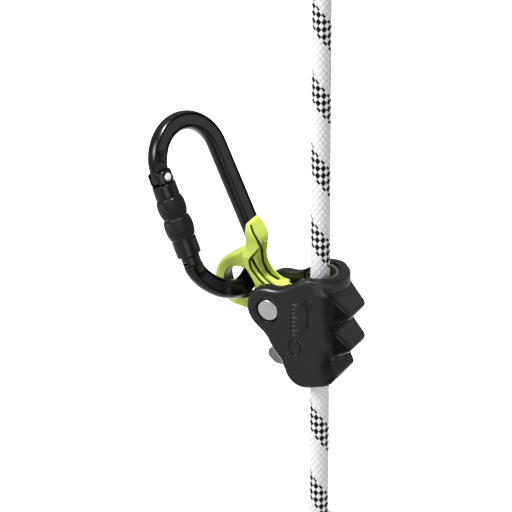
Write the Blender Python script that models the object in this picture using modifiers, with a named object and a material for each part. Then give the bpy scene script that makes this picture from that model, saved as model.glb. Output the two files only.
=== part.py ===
"""Cam rope grab with its locking oval carabiner, on the rope that holds it up.

World frame: +Z up along the rope, X across the cheeks with the back ridges at +X, and the front
cheek facing -Y. The origin is on the rope's axis, level with the cam's pivot pin.
The carabiner has its own frame on the swing axis: X from gate to spine, Z up its long axis.
"""

import math

import bmesh
import bpy
from mathutils import Matrix, Vector

MM = 0.001
FIT = 0.3 * MM  # clearance between neighbouring pieces

# Rope, hung from a sewn eye and closed by a stopper knot
ROPE_RADIUS = 5.5 * MM
ROPE_BOTTOM = -132 * MM
ROPE_TOP = 203 * MM
ROPE_POINT_STEP = 28 * MM
EYE_SLEEVE_LENGTH = 24 * MM
EYE_LEG_SPREAD = 6.2 * MM
EYE_LOOP = ((0, 0), (0.2, 4), (3.8, 10), (7.6, 18), (6.0, 27), (-6.2, 32.5))  # (out, up) from a leg
KNOT_RADIUS = 16.5 * MM
KNOT_LENGTH = 34 * MM
KNOT_TAIL = 9 * MM

# Pivot
PIN = Vector((-25, 0, 0)) * MM
PIN_RADIUS = 4 * MM
PIN_HEAD_RADIUS = 6.15 * MM
PIN_HEAD_THICKNESS = 2.2 * MM
PIN_HEAD_SINK = 0.2 * MM
PIN_TAIL_RADIUS = 2.5 * MM
RECESS_RADIUS = 7 * MM
RECESS_DEPTH = 2.7 * MM

# Housing: one U-shaped body, open towards -X
HALF_WIDTH = 15 * MM
SLOT_HALF = 8.3 * MM
CHANNEL_RADIUS = 10.9 * MM
CHANNEL_START = -14 * MM
NOSE_RADIUS = 13.1 * MM
CHEEK_EDGE = 1.2 * MM
BACK_X = 17 * MM
# (x, z, corner radius) in mm, from the lower left of the round nose to its top
HOUSING_CORNERS = (
    (-26.4, -15.6, 10), (-21.3, -24.2, 2), (-17.2, -28.4, 2), (-9.8, -46.0, 11),
    (12.6, -38.6, 2), (15.6, -33.4, 2), (17.6, -28.0, 3), (17.6, 24.9, 1.5), (-1.5, 24.9, 14),
    (-18.5, 13.3, 14),
)
# Two knuckles with a sloped top and a nearly level underside, above the flared foot
RIDGE_CORNERS = (
    (4, 17.6, 0), (12.2, 17.6, 2), (25.2, 4.9, 2.2), (14.4, -1.6, 1), (14.1, -4.4, 1),
    (25.8, -15.4, 2.2), (12.9, -22.2, 1), (12.8, -25.6, 1), (16.2, -33.6, 1.4), (13.0, -38.2, 0),
    (4, -38.2, 0),
)
# (x, y, corner radius) in mm, the knuckles seen from above
RIDGE_PLAN = (
    (0, -12.3, 0), (15.0, -12.6, 6), (24.4, -9.6, 4), (25.6, 0, 30), (24.4, 9.6, 4),
    (15.0, 12.6, 6), (0, 12.3, 0),
)

# Channel liner: a bent U of sheet with a lug at the lower front of each side
LINER_OUTER = 10.6 * MM
LINER_INNER = 8.6 * MM
LINER_START = -13.7 * MM
LINER_CORNERS = (
    (-13.7, 15.4, 1), (-1.2, 24.2, 10), (14, 24.2, 0), (14, -38.4, 0), (-8.8, -38.4, 5),
    (-13.6, -34.6, 0), (-23.4, -34.6, 4), (-27.0, -25.2, 4), (-13.7, -25.2, 0),
)
LUG_POCKET = ((-30, -13, -36), (-30, 13, -23.6))  # x and z limits, worked into the cheeks

# Cam arm: eye, horn and cam in one forging
ARM_HALF = 5 * MM
EYE = Vector((-47.7, 0, 7.7)) * MM
EYE_RADIUS = 9.5 * MM
EYE_OUTER = 16 * MM
# (x, z, corner radius) in mm: the wide saddle that slopes down between the cheeks
SADDLE_CORNERS = (
    (-41.5, 22.5, 1), (-40.4, 27.0, 1), (-37.1, 27.6, 1), (-37.9, 24.0, 3), (-36.9, 20.0, 6),
    (-33.2, 14.4, 8), (-29.6, 11.4, 6), (-22.0, 9.6, 0.5), (-22.4, 8.9, 0), (-30.5, 7.6, 0),
    (-36.0, 8.6, 2), (-38.6, 15.5, 6),
)
SADDLE_HALF = 7.9 * MM
CAM_START, CAM_END = 24, -38  # degrees above the pin's level
CAM_RADIUS = 18.4 * MM
CAM_GROWTH = 0.1 * MM  # growth of the cam's radius for each degree downwards
PAD_HALF = 7 * MM

# Bushing, spacers and torsion spring on the pin
BUSHING_OUTER = 5.5 * MM
ARM_BORE = 5.8 * MM
SPACER_OUTER = 8 * MM
SPRING_WIRE = 0.5 * MM
SPRING_RADIUS = 7.2 * MM
SPRING_TURNS = 1.5
SPRING_LEG = 6 * MM

# Carabiner
LEAN = math.radians(25)  # long axis, from vertical towards -X
YAW = math.radians(14)  # width direction, from +Y towards +X
BAR_RADIUS = 5.5 * MM
APEX = Vector((-5.55, -0.45, -3.1)) * MM  # lowest point of the centreline, from the eye's centre
LOWER_BEND = 24.5 * MM
UPPER_BEND = 23 * MM
BEND_SPACING = 52.5 * MM
BASKET_POWER = 1.55  # below 2, the gate side of the lower bend is cut flatter than a circle
WEB_HALF = 2.5 * MM
EAR_GAP = 2.9 * MM
EAR_SWEEP = 8.4 * MM
TANG_RADIUS = 5.4 * MM
RIVET_RADIUS = 2.35 * MM
RIVET_HALF = 6.5 * MM

# Gate, along its own axis down from the rivet
HINGE_TOP = 3.8 * MM
HINGE_BOTTOM = -3.2 * MM
HINGE_RADIUS = 6.7 * MM
TUBE_RADIUS = 4.7 * MM
COLLAR_TOP = -46.6 * MM
GATE_END = -51.3 * MM
COLLAR_RADIUS = 5.3 * MM
NOSE_TOP = -51.9 * MM
KEY_TOP = -49.7 * MM
SLOT_BOTTOM = -6 * MM
BORE_RADIUS = 2.9 * MM
BORE_END = -30 * MM
SLEEVE_TOP = -3.6 * MM
SLEEVE_END = -46.2 * MM
SLEEVE_BORE = 5.8 * MM
# (radius, distance below the rivet) in mm down the outside of the sleeve
SLEEVE_PROFILE = (
    (6.6, 3.6), (7.0, 4.0), (7.0, 10.5), (7.4, 11.2), (8.0, 15), (8.0, 19.5), (7.3, 23.2),
    (7.4, 23.8), (8.2, 28), (8.2, 32.5), (7.2, 37), (7.0, 37.6), (7.0, 45.8), (6.6, 46.2),
)


# ---------------------------------------------------------------- scene and materials

def clear_scene():
    for obj in list(bpy.data.objects):
        bpy.data.objects.remove(obj)


def make_collection(name):
    found = bpy.data.collections.new(name)
    bpy.context.scene.collection.children.link(found)
    return found


def make_material(name, colour, roughness, metallic):
    made = bpy.data.materials.new(name)
    made.use_nodes = True
    shader = made.node_tree.nodes["Principled BSDF"]
    shader.inputs["Base Color"].default_value = (*colour, 1)
    shader.inputs["Roughness"].default_value = roughness
    shader.inputs["Metallic"].default_value = metallic
    made.diffuse_color = (*colour, 1)
    return made


clear_scene()
PARTS = make_collection("rope_grab")
CUTTERS = make_collection("cutters")
ROPE_WHITE = make_material("rope_sheath", (0.85, 0.85, 0.84), 0.85, 0)
SLEEVE_GREY = make_material("sleeve_plastic", (0.05, 0.05, 0.05), 0.5, 0)
HOUSING_BLACK = make_material("housing_black", (0.022, 0.022, 0.023), 0.42, 0)
STAINLESS = make_material("stainless", (0.55, 0.55, 0.56), 0.3, 1)
LIME = make_material("lime_anodised", (0.48, 0.68, 0.10), 0.35, 0.6)
BLACK_ANODISED = make_material("black_anodised", (0.02, 0.02, 0.021), 0.35, 0.5)
BRONZE = make_material("bronze", (0.45, 0.30, 0.14), 0.4, 1)
SPRING_STEEL = make_material("spring_steel", (0.35, 0.35, 0.36), 0.35, 1)


# ---------------------------------------------------------------- outlines

def arc(centre, radius, start, end, step=12):
    """Points on an arc from start to end, in degrees."""
    count = max(2, math.ceil(abs(end - start) / step))
    turns = [math.radians(start + (end - start) * i / count) for i in range(count + 1)]
    return [(centre[0] + radius * math.cos(a), centre[1] + radius * math.sin(a)) for a in turns]


def rounded(corners, step=20):
    """The outline through corners of (x, y, radius), each corner replaced by its arc."""
    points = []
    for i, (x, y, radius) in enumerate(corners):
        here = Vector((x, y))
        to_last = (Vector(corners[i - 1][:2]) - here).normalized()
        to_next = (Vector(corners[(i + 1) % len(corners)][:2]) - here).normalized()
        angle = to_last.angle(to_next)
        if not radius or abs(angle - math.pi) < 0.01:
            points.append((x, y))
            continue
        centre = here + (to_last + to_next).normalized() * (radius / math.sin(angle / 2))
        first = here + to_last * (radius / math.tan(angle / 2)) - centre
        last = here + to_next * (radius / math.tan(angle / 2)) - centre
        sweep = math.atan2(first.cross(last), first.dot(last))
        count = max(1, math.ceil(abs(math.degrees(sweep)) / step))
        for k in range(count + 1):
            point = centre + Matrix.Rotation(sweep * k / count, 2) @ first
            points.append((point.x, point.y))
    return points


def in_mm(corners):
    return [tuple(value * MM for value in corner) for corner in corners]


def smooth(points, per_span):
    """Catmull-Rom points through an open line of vectors."""
    ends = [2 * points[0] - points[1], *points, 2 * points[-1] - points[-2]]
    line = []
    for a, b, c, d in zip(ends, ends[1:], ends[2:], ends[3:]):
        for k in range(per_span):
            t = k / per_span
            line.append(
                0.5 * (2 * b + (c - a) * t + (2 * a - 5 * b + 4 * c - d) * t * t
                       + (3 * b - a - 3 * c + d) * t ** 3)
            )
    return [*line, points[-1]]


# ---------------------------------------------------------------- solids

def add(name, mesh, material, parent=None, matrix=None):
    """A named part, placed in its parent's frame. A part with no material is a cutter."""
    obj = bpy.data.objects.new(name, mesh)
    if material:
        PARTS.objects.link(obj)
        mesh.materials.clear()
        mesh.materials.append(material)
        mesh.shade_smooth()
        mesh.set_sharp_from_angle(angle=math.radians(35))
    else:
        CUTTERS.objects.link(obj)
        obj.hide_render = True
        obj.display_type = "WIRE"
    obj.parent = parent
    obj.matrix_basis = matrix or Matrix.Identity(4)
    return obj


def mesh_of_curve(curve):
    """The curve's tube or plate as a closed mesh."""
    obj = bpy.data.objects.new("curve", curve)
    bpy.context.scene.collection.objects.link(obj)
    bpy.context.view_layer.update()
    graph = bpy.context.evaluated_depsgraph_get()
    mesh = bpy.data.meshes.new_from_object(obj.evaluated_get(graph))
    bpy.data.objects.remove(obj)
    cage = bmesh.new()
    cage.from_mesh(mesh)
    bmesh.ops.remove_doubles(cage, verts=cage.verts, dist=0.002 * MM)
    bmesh.ops.recalc_face_normals(cage, faces=cage.faces)
    cage.to_mesh(mesh)
    cage.free()
    return mesh


def plate_mesh(outlines, half, edge=0.0, up="Y"):
    """Flat outlines given a thickness of 2 half: in x and z along Y, or in x and y along Z."""
    curve = bpy.data.curves.new("plate", "CURVE")
    curve.dimensions = "2D"
    curve.fill_mode = "BOTH"
    curve.extrude = half - edge
    curve.bevel_depth = edge
    curve.bevel_resolution = 1
    curve.offset = -edge
    for outline in outlines:
        spline = curve.splines.new("POLY")
        spline.points.add(len(outline) - 1)
        for point, (x, y) in zip(spline.points, outline):
            point.co = (x, y, 0, 1)
        spline.use_cyclic_u = True
    mesh = mesh_of_curve(curve)
    if up == "Y":
        mesh.transform(Matrix.Rotation(math.pi / 2, 4, "X"))
    return mesh


def tube_curve(points, radius, sides=8):
    curve = bpy.data.curves.new("tube", "CURVE")
    curve.dimensions = "3D"
    curve.bevel_depth = radius
    curve.bevel_resolution = sides // 2 - 2
    curve.render_resolution_u = 0
    curve.use_fill_caps = True
    spline = curve.splines.new("POLY")
    spline.points.add(len(points) - 1)
    for point, place in zip(spline.points, points):
        point.co = (*place, 1)
    return curve


def add_tube(name, points, radius, material, parent=None, matrix=None, sides=8):
    """A wire or rope along the points, as a curve object."""
    obj = bpy.data.objects.new(name, tube_curve(points, radius, sides))
    PARTS.objects.link(obj)
    obj.data.materials.append(material)
    obj.parent = parent
    obj.matrix_basis = matrix or Matrix.Identity(4)
    return obj


def add_turned(name, profile, material, parent=None, matrix=None, steps=24, closed=False):
    """A body turned about Z from (radius, height) points that run down its outside."""
    mesh = bpy.data.meshes.new(name)
    edges = [(i, i + 1) for i in range(len(profile) - 1)]
    if closed:
        edges.append((len(profile) - 1, 0))
    mesh.from_pydata([(radius, 0, height) for radius, height in profile], edges, [])
    obj = add(name, mesh, material, parent, matrix)
    screw = obj.modifiers.new("turn", "SCREW")
    screw.steps = steps
    screw.render_steps = steps
    screw.use_merge_vertices = True
    screw.merge_threshold = 0.005 * MM
    screw.use_smooth_shade = True
    return obj


def ring_profile(inner, outer, low, high):
    return [(outer, high), (outer, low), (inner, low), (inner, high)]


def cylinder_mesh(radius, low, high, segments=32, radius_y=None):
    """A cylinder along Z, or an elliptical one."""
    cage = bmesh.new()
    bmesh.ops.create_cone(
        cage, cap_ends=True, segments=segments, radius1=radius, radius2=radius, depth=high - low,
        matrix=Matrix.Translation((0, 0, (low + high) / 2)),
    )
    mesh = bpy.data.meshes.new("cylinder")
    cage.to_mesh(mesh)
    cage.free()
    if radius_y:
        mesh.transform(Matrix.Diagonal((1, radius_y / radius, 1, 1)))
    return mesh


def box_mesh(low, high):
    cage = bmesh.new()
    bmesh.ops.create_cube(cage, size=1)
    size = Vector(high) - Vector(low)
    middle = (Vector(high) + Vector(low)) / 2
    place = Matrix.Translation(middle) @ Matrix.Diagonal((*size, 1))
    bmesh.ops.transform(cage, matrix=place, verts=cage.verts)
    mesh = bpy.data.meshes.new("box")
    cage.to_mesh(mesh)
    cage.free()
    return mesh


def combine(target, other, operation):
    modifier = target.modifiers.new(other.name, "BOOLEAN")
    modifier.operation = operation
    modifier.object = other
    modifier.solver = "EXACT"


def add_axis(name, place, rotation=None, parent=None):
    """An empty on a joint's axis."""
    axis = bpy.data.objects.new(name, None)
    PARTS.objects.link(axis)
    axis.empty_display_size = 5 * MM
    axis.parent = parent
    axis.matrix_basis = Matrix.Translation(place) @ (rotation or Matrix.Identity(4))
    return axis


ALONG_Y = Matrix.Rotation(math.pi / 2, 4, "X")  # takes local +Z to -Y, towards the front
AT_PIN = Matrix.Translation(PIN) @ ALONG_Y


# ---------------------------------------------------------------- rope

def make_rope():
    count = math.ceil((ROPE_TOP - ROPE_BOTTOM) / ROPE_POINT_STEP)
    heights = [ROPE_TOP + (ROPE_BOTTOM - ROPE_TOP) * i / count for i in range(count + 1)]
    add_tube("rope", [(0, 0, z) for z in heights], ROPE_RADIUS, ROPE_WHITE, sides=12)

    sleeve = cylinder_mesh(12.5 * MM, 0, EYE_SLEEVE_LENGTH, segments=24, radius_y=7.2 * MM)
    for vertex in sleeve.vertices:
        if vertex.co.z < EYE_SLEEVE_LENGTH / 2:
            vertex.co.x *= 0.62
    place = Matrix.Translation((0, 0, ROPE_TOP + FIT))
    add("eye_sleeve", sleeve, SLEEVE_GREY, matrix=place)

    base = ROPE_TOP + EYE_SLEEVE_LENGTH + 2 * FIT
    half = [Vector((EYE_LEG_SPREAD + out * MM, 0, base + up * MM)) for out, up in EYE_LOOP]
    other = [Vector((-point.x, 0, point.z)) for point in half[-2::-1]]
    add_tube("rope_eye", smooth(half + other, 3), ROPE_RADIUS, ROPE_WHITE, sides=10)

    top = ROPE_BOTTOM - FIT
    low = top - KNOT_LENGTH
    profile = [
        (0, top), (0.5 * KNOT_RADIUS, top), (0.9 * KNOT_RADIUS, top - 0.12 * KNOT_LENGTH),
        (KNOT_RADIUS, top - 0.35 * KNOT_LENGTH), (KNOT_RADIUS, top - 0.65 * KNOT_LENGTH),
        (0.9 * KNOT_RADIUS, top - 0.88 * KNOT_LENGTH), (ROPE_RADIUS, low),
        (ROPE_RADIUS, low - KNOT_TAIL), (0, low - KNOT_TAIL),
    ]
    add_turned("stopper_knot", profile, ROPE_WHITE, steps=20)


# ---------------------------------------------------------------- housing and its fittings

def make_housing():
    nose = arc(PIN.xz, NOSE_RADIUS, 90, 232)
    corners = [(x, z, 0) for x, z in nose] + in_mm(HOUSING_CORNERS)
    housing = add("housing", plate_mesh([rounded(corners)], HALF_WIDTH, CHEEK_EDGE), HOUSING_BLACK)

    straight = HALF_WIDTH + 1 * MM
    back = [(3 * MM + (BACK_X - 3 * MM) * math.cos(a), straight * math.sin(a))
            for a in (math.radians(-90 + 12 * i) for i in range(16))]
    plan = [(-60 * MM, -straight), *back, (-60 * MM, straight)]
    combine(housing, add("plan", plate_mesh([plan], 60 * MM, up="Z"), None), "INTERSECT")

    ridges = add("ridges", plate_mesh([rounded(in_mm(RIDGE_CORNERS))], 20 * MM), None)
    ridge_plan = plate_mesh([rounded(in_mm(RIDGE_PLAN))], 60 * MM, up="Z")
    combine(ridges, add("ridge_plan", ridge_plan, None), "INTERSECT")
    combine(housing, ridges, "UNION")

    round_end = arc((0, 0), CHANNEL_RADIUS, -90, 90)
    channel = [
        (-60 * MM, -SLOT_HALF), (CHANNEL_START, -SLOT_HALF), (CHANNEL_START, -CHANNEL_RADIUS),
        *round_end, (CHANNEL_START, CHANNEL_RADIUS), (CHANNEL_START, SLOT_HALF),
        (-60 * MM, SLOT_HALF),
    ]
    combine(housing, add("channel", plate_mesh([channel], 60 * MM, up="Z"), None), "DIFFERENCE")

    (left, _, low), (_, right, high) = LUG_POCKET
    pocket = box_mesh(
        (left * MM, -CHANNEL_RADIUS, low * MM), (-right * MM, CHANNEL_RADIUS, high * MM)
    )
    combine(housing, add("lug_pocket", pocket, None), "DIFFERENCE")

    bore = cylinder_mesh(PIN_RADIUS + FIT, -20 * MM, 20 * MM)
    combine(housing, add("pin_bore", bore, None, matrix=AT_PIN), "DIFFERENCE")
    for side, name in ((1, "front_recess"), (-1, "back_recess")):
        ends = sorted((side * (HALF_WIDTH - RECESS_DEPTH), side * 20 * MM))
        recess = cylinder_mesh(RECESS_RADIUS, *ends)
        combine(housing, add(name, recess, None, matrix=AT_PIN), "DIFFERENCE")


def make_liner():
    outer = arc((0, 0), LINER_OUTER, -90, 90)
    inner = arc((0, 0), LINER_INNER, 90, -90)
    left = -30 * MM
    plan = [(left, -LINER_OUTER), *outer, (left, LINER_OUTER), (left, LINER_INNER), *inner,
            (left, -LINER_INNER)]
    liner = add("channel_liner", plate_mesh([plan], 50 * MM, up="Z"), STAINLESS)
    side = plate_mesh([rounded(in_mm(LINER_CORNERS))], 20 * MM)
    combine(liner, add("liner_side", side, None), "INTERSECT")


def make_pivot():
    front = HALF_WIDTH - PIN_HEAD_SINK
    head = front - PIN_HEAD_THICKNESS
    shoulder = -(HALF_WIDTH - RECESS_DEPTH) + FIT
    tail = -front
    pin = [
        (0, front), (PIN_HEAD_RADIUS - 0.4 * MM, front), (PIN_HEAD_RADIUS, front - 0.4 * MM),
        (PIN_HEAD_RADIUS, head), (PIN_RADIUS, head), (PIN_RADIUS, shoulder),
        (PIN_TAIL_RADIUS, shoulder), (PIN_TAIL_RADIUS, tail), (0, tail),
    ]
    add_turned("pivot_pin", pin, STAINLESS, matrix=AT_PIN)
    washer = ring_profile(PIN_TAIL_RADIUS + FIT, PIN_HEAD_RADIUS, tail, shoulder - FIT)
    add_turned("pin_washer", washer, STAINLESS, matrix=AT_PIN, closed=True)

    inner = PIN_RADIUS + FIT
    side_low, side_high = ARM_HALF + FIT + 0.1 * MM, SLOT_HALF - FIT
    front_spacer = ring_profile(inner, SPACER_OUTER, side_low, side_high)
    add_turned("front_spacer", front_spacer, BRONZE, matrix=AT_PIN, closed=True)
    rear_spacer = ring_profile(inner, BUSHING_OUTER, -side_high, -side_low)
    add_turned("rear_spacer", rear_spacer, BRONZE, matrix=AT_PIN, closed=True)

    count = round(SPRING_TURNS * 16)
    start = -ARM_HALF - 0.9 * MM
    pitch = 2.14 * SPRING_WIRE
    coil = []
    for i in range(count + 1):
        turn = SPRING_TURNS * i / count
        angle = 2 * math.pi * turn
        coil.append(Vector((SPRING_RADIUS * math.cos(angle), SPRING_RADIUS * math.sin(angle),
                            start - pitch * turn)))
    leg = Vector((0, -SPRING_LEG, 0))
    line = [coil[0] + leg, *coil, coil[-1] + leg]
    add_tube("cam_spring", line, SPRING_WIRE, SPRING_STEEL, matrix=AT_PIN)


# ---------------------------------------------------------------- cam arm

def cam_points():
    """The cam's working face, further from the pin the lower it is."""
    points = []
    count = 10
    for i in range(count + 1):
        degrees = CAM_START + (CAM_END - CAM_START) * i / count
        radius = CAM_RADIUS - CAM_GROWTH * degrees
        angle = math.radians(degrees)
        points.append((PIN.x + radius * math.cos(angle), radius * math.sin(angle)))
    return points


def make_arm(axis):
    ring = arc(EYE.xz, EYE_OUTER, 268, 124)
    horn = in_mm((
        (-43.2, 31.0, 3), (-43.4, 45.9, 1.2), (-41.0, 46.0, 1.2), (-37.5, 40.0, 5),
        (-35.8, 36.5, 4), (-35.6, 33.4, 3), (-36.6, 28.6, 6), (-38.3, 24.0, 4),
        (-37.4, 20.1, 6), (-33.8, 14.2, 8), (-30.0, 10.9, 6), (-22.5, 10.2, 5),
    ))
    base = in_mm(((-11.0, -15.2, 1.5), (-25.0, -11.0, 12)))
    corners = [(x, z, 0) for x, z in ring] + horn
    corners += [(x, z, 0) for x, z in cam_points()] + base
    hole = arc(EYE.xz, EYE_RADIUS, 0, 348)
    bore = arc(PIN.xz, ARM_BORE, 0, 345, 15)
    arm_mesh = plate_mesh([rounded(corners), hole, bore], ARM_HALF)
    arm_mesh.transform(Matrix.Translation(-PIN))
    arm = add("cam_arm", arm_mesh, LIME, axis)

    pad = rounded(in_mm((
        (-42.9, 34.0, 2.5), (-43.2, 45.7, 1.2), (-41.1, 45.8, 1.2), (-37.7, 39.9, 4),
        (-36.2, 36.2, 2.5), (-36.4, 34.0, 1.5),
    )))
    pad_mesh = plate_mesh([pad], PAD_HALF)
    pad_mesh.transform(Matrix.Translation(-PIN))
    combine(arm, add("thumb_pad", pad_mesh, None, axis), "UNION")
    saddle_mesh = plate_mesh([rounded(in_mm(SADDLE_CORNERS))], SADDLE_HALF)
    saddle_mesh.transform(Matrix.Translation(-PIN))
    combine(arm, add("saddle", saddle_mesh, None, axis), "UNION")

    bushing = ring_profile(PIN_RADIUS + FIT, BUSHING_OUTER, -ARM_HALF, ARM_HALF)
    add_turned("pivot_bushing", bushing, BRONZE, axis, ALONG_Y, closed=True)


# ---------------------------------------------------------------- carabiner

def carabiner_rotation():
    """Columns: gate to spine, away from the viewer, up the long axis."""
    long_axis = Vector((-math.sin(LEAN), 0, math.cos(LEAN)))
    level = Vector((math.cos(LEAN), 0, math.sin(LEAN)))
    width = Vector((0, 1, 0)) * math.cos(YAW) + level * math.sin(YAW)
    depth = long_axis.cross(width)
    return Matrix((width, depth, long_axis)).transposed().to_4x4()


def gate_place():
    """(rivet centre, gate axis tilt) in the carabiner's frame, from the two bends' shared tangent."""
    lower = Vector((0, LOWER_BEND))
    upper = Vector((LOWER_BEND - UPPER_BEND, LOWER_BEND + BEND_SPACING))
    between = upper - lower
    tilt = math.atan2(between.x, between.y) + math.asin((LOWER_BEND - UPPER_BEND) / between.length)
    rivet = upper + UPPER_BEND * Vector((-math.cos(tilt), math.sin(tilt)))
    return Vector((rivet.x, 0, rivet.y)) + APEX, tilt


def flatten(point):
    """The point of the lower bend, moved inwards if it lies low on the gate side."""
    x, z = point
    across = x / LOWER_BEND
    below = 1 - z / LOWER_BEND
    if across >= 0 or below <= 0:
        return point
    power = 2 / BASKET_POWER
    return -LOWER_BEND * (-across) ** power, LOWER_BEND * (1 - below ** power)


def bar_line(rivet, tilt):
    """The bar's centreline from the nose, round the lower bend, the spine and the upper bend."""
    down = Vector((-math.sin(tilt), -math.cos(tilt)))
    gate_side = Vector((rivet.x, rivet.z)) - Vector((APEX.x, APEX.z))
    nose = gate_side - down * NOSE_TOP
    side = 180 - math.degrees(tilt)
    lower = [flatten(point) for point in arc((0, LOWER_BEND), LOWER_BEND, side, 360, 10)]
    upper_centre = (LOWER_BEND - UPPER_BEND, LOWER_BEND + BEND_SPACING)
    upper = arc(upper_centre, UPPER_BEND, 0, side, 10)
    flat = [tuple(nose), *lower, *upper]
    return [Vector((x, 0, z)) + APEX for x, z in flat]


def make_carabiner(axis, gate_axis, rivet, tilt):
    line = bar_line(rivet, tilt)
    body = add("carabiner_body", mesh_of_curve(tube_curve(line, BAR_RADIUS, 12)), BLACK_ANODISED,
               axis)
    to_gate = gate_axis.matrix_basis
    for side, name in ((1, "near_flat"), (-1, "far_flat")):
        ends = sorted((side * WEB_HALF, side * 9 * MM))
        flat = cylinder_mesh(EAR_SWEEP, *ends)
        combine(body, add(name, flat, None, axis, to_gate @ ALONG_Y), "DIFFERENCE")
    tang = cylinder_mesh(TANG_RADIUS, -WEB_HALF + 0.1 * MM, WEB_HALF - 0.1 * MM, 24)
    combine(body, add("tang", tang, None, axis, to_gate @ ALONG_Y), "UNION")
    key = box_mesh((-2.6 * MM, -1.5 * MM, NOSE_TOP - 2 * MM), (2.6 * MM, 1.5 * MM, KEY_TOP))
    combine(body, add("nose_key", key, None, axis, to_gate), "UNION")
    hole = cylinder_mesh(RIVET_RADIUS + FIT, -12 * MM, 12 * MM, 20)
    combine(body, add("rivet_hole", hole, None, axis, to_gate @ ALONG_Y), "DIFFERENCE")

    rivet_profile = [
        (0, RIVET_HALF), (RIVET_RADIUS - 0.3 * MM, RIVET_HALF),
        (RIVET_RADIUS, RIVET_HALF - 0.3 * MM), (RIVET_RADIUS, 0.3 * MM - RIVET_HALF),
        (RIVET_RADIUS - 0.3 * MM, -RIVET_HALF), (0, -RIVET_HALF),
    ]
    add_turned("gate_rivet", rivet_profile, STAINLESS, axis, to_gate @ ALONG_Y, steps=16)


def make_gate(axis):
    profile = [
        (0, HINGE_TOP), (HINGE_RADIUS - 0.5 * MM, HINGE_TOP),
        (HINGE_RADIUS, HINGE_TOP - 0.5 * MM), (HINGE_RADIUS, HINGE_BOTTOM),
        (TUBE_RADIUS, HINGE_BOTTOM), (TUBE_RADIUS, COLLAR_TOP), (COLLAR_RADIUS, COLLAR_TOP),
        (COLLAR_RADIUS, GATE_END), (0, GATE_END),
    ]
    gate = add_turned("gate", profile, BLACK_ANODISED, axis)
    slot = box_mesh((-12 * MM, -EAR_GAP, SLOT_BOTTOM), (12 * MM, EAR_GAP, 12 * MM))
    combine(gate, add("hinge_slot", slot, None, axis), "DIFFERENCE")
    bore = cylinder_mesh(BORE_RADIUS, BORE_END, SLOT_BOTTOM + 1 * MM, 20)
    combine(gate, add("gate_bore", bore, None, axis), "DIFFERENCE")
    hole = cylinder_mesh(RIVET_RADIUS + FIT, -12 * MM, 12 * MM, 20)
    combine(gate, add("ear_hole", hole, None, axis, ALONG_Y), "DIFFERENCE")
    key_slot = box_mesh((-12 * MM, -1.85 * MM, -60 * MM), (2.95 * MM, 1.85 * MM, KEY_TOP + FIT))
    combine(gate, add("key_slot", key_slot, None, axis), "DIFFERENCE")

    plunger_top = SLOT_BOTTOM + 0.2 * MM
    plunger = [(0, plunger_top), (2 * MM, plunger_top), (2.5 * MM, plunger_top - 0.5 * MM),
               (2.5 * MM, plunger_top - 5 * MM), (0, plunger_top - 5 * MM)]
    add_turned("gate_plunger", plunger, STAINLESS, axis, steps=16)
    spring_top = plunger_top - 5 * MM - 0.7 * MM
    spring = coil_line(1.9 * MM, spring_top, BORE_END + 0.7 * MM, 6, 8)
    add_tube("gate_spring", spring, 0.35 * MM, SPRING_STEEL, axis)


def coil_line(radius, top, bottom, turns, per_turn):
    count = turns * per_turn
    return [
        Vector((radius * math.cos(2 * math.pi * i / per_turn),
                radius * math.sin(2 * math.pi * i / per_turn),
                top + (bottom - top) * i / count))
        for i in range(count + 1)
    ]


def make_sleeve(axis):
    inside = TUBE_RADIUS + FIT
    guide = ring_profile(inside, SLEEVE_BORE - FIT, -18 * MM, -16 * MM)
    add_turned("guide_ring", guide, STAINLESS, axis, closed=True)
    spring = coil_line(5.25 * MM, -18.6 * MM, -42.6 * MM, 5, 14)
    add_tube("sleeve_spring", spring, 0.28 * MM, SPRING_STEEL, axis)
    outside = [(radius * MM, -depth * MM) for radius, depth in SLEEVE_PROFILE]
    profile = [*outside, (SLEEVE_BORE, SLEEVE_END), (SLEEVE_BORE, SLEEVE_TOP)]
    add_turned("lock_sleeve", profile, BLACK_ANODISED, axis, steps=28, closed=True)


# ---------------------------------------------------------------- assembly

make_rope()
make_housing()
make_liner()
make_pivot()
pivot_axis = add_axis("arm_pivot_axis", PIN)
make_arm(pivot_axis)
swing_axis = add_axis("carabiner_swing_axis", EYE, carabiner_rotation())
rivet_centre, gate_tilt = gate_place()
gate_rotation = Matrix.Rotation(gate_tilt, 4, "Y")
hinge_axis = add_axis("gate_hinge_axis", rivet_centre, gate_rotation, swing_axis)
make_carabiner(swing_axis, hinge_axis, rivet_centre, gate_tilt)
make_gate(hinge_axis)
make_sleeve(hinge_axis)
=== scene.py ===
"""The finished look of the cam rope grab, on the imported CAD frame.

World frame: +Z up along the rope, +X from the pivot pin across the rope, the front cheek facing -Y.
The solid pieces are built as signed distance fields in millimetres and meshed with surface nets,
so that their fillets, rounded edges and grooves are real geometry.
"""

import math

import bmesh
import bpy
import numpy as np
from mathutils import Matrix, Vector


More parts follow.
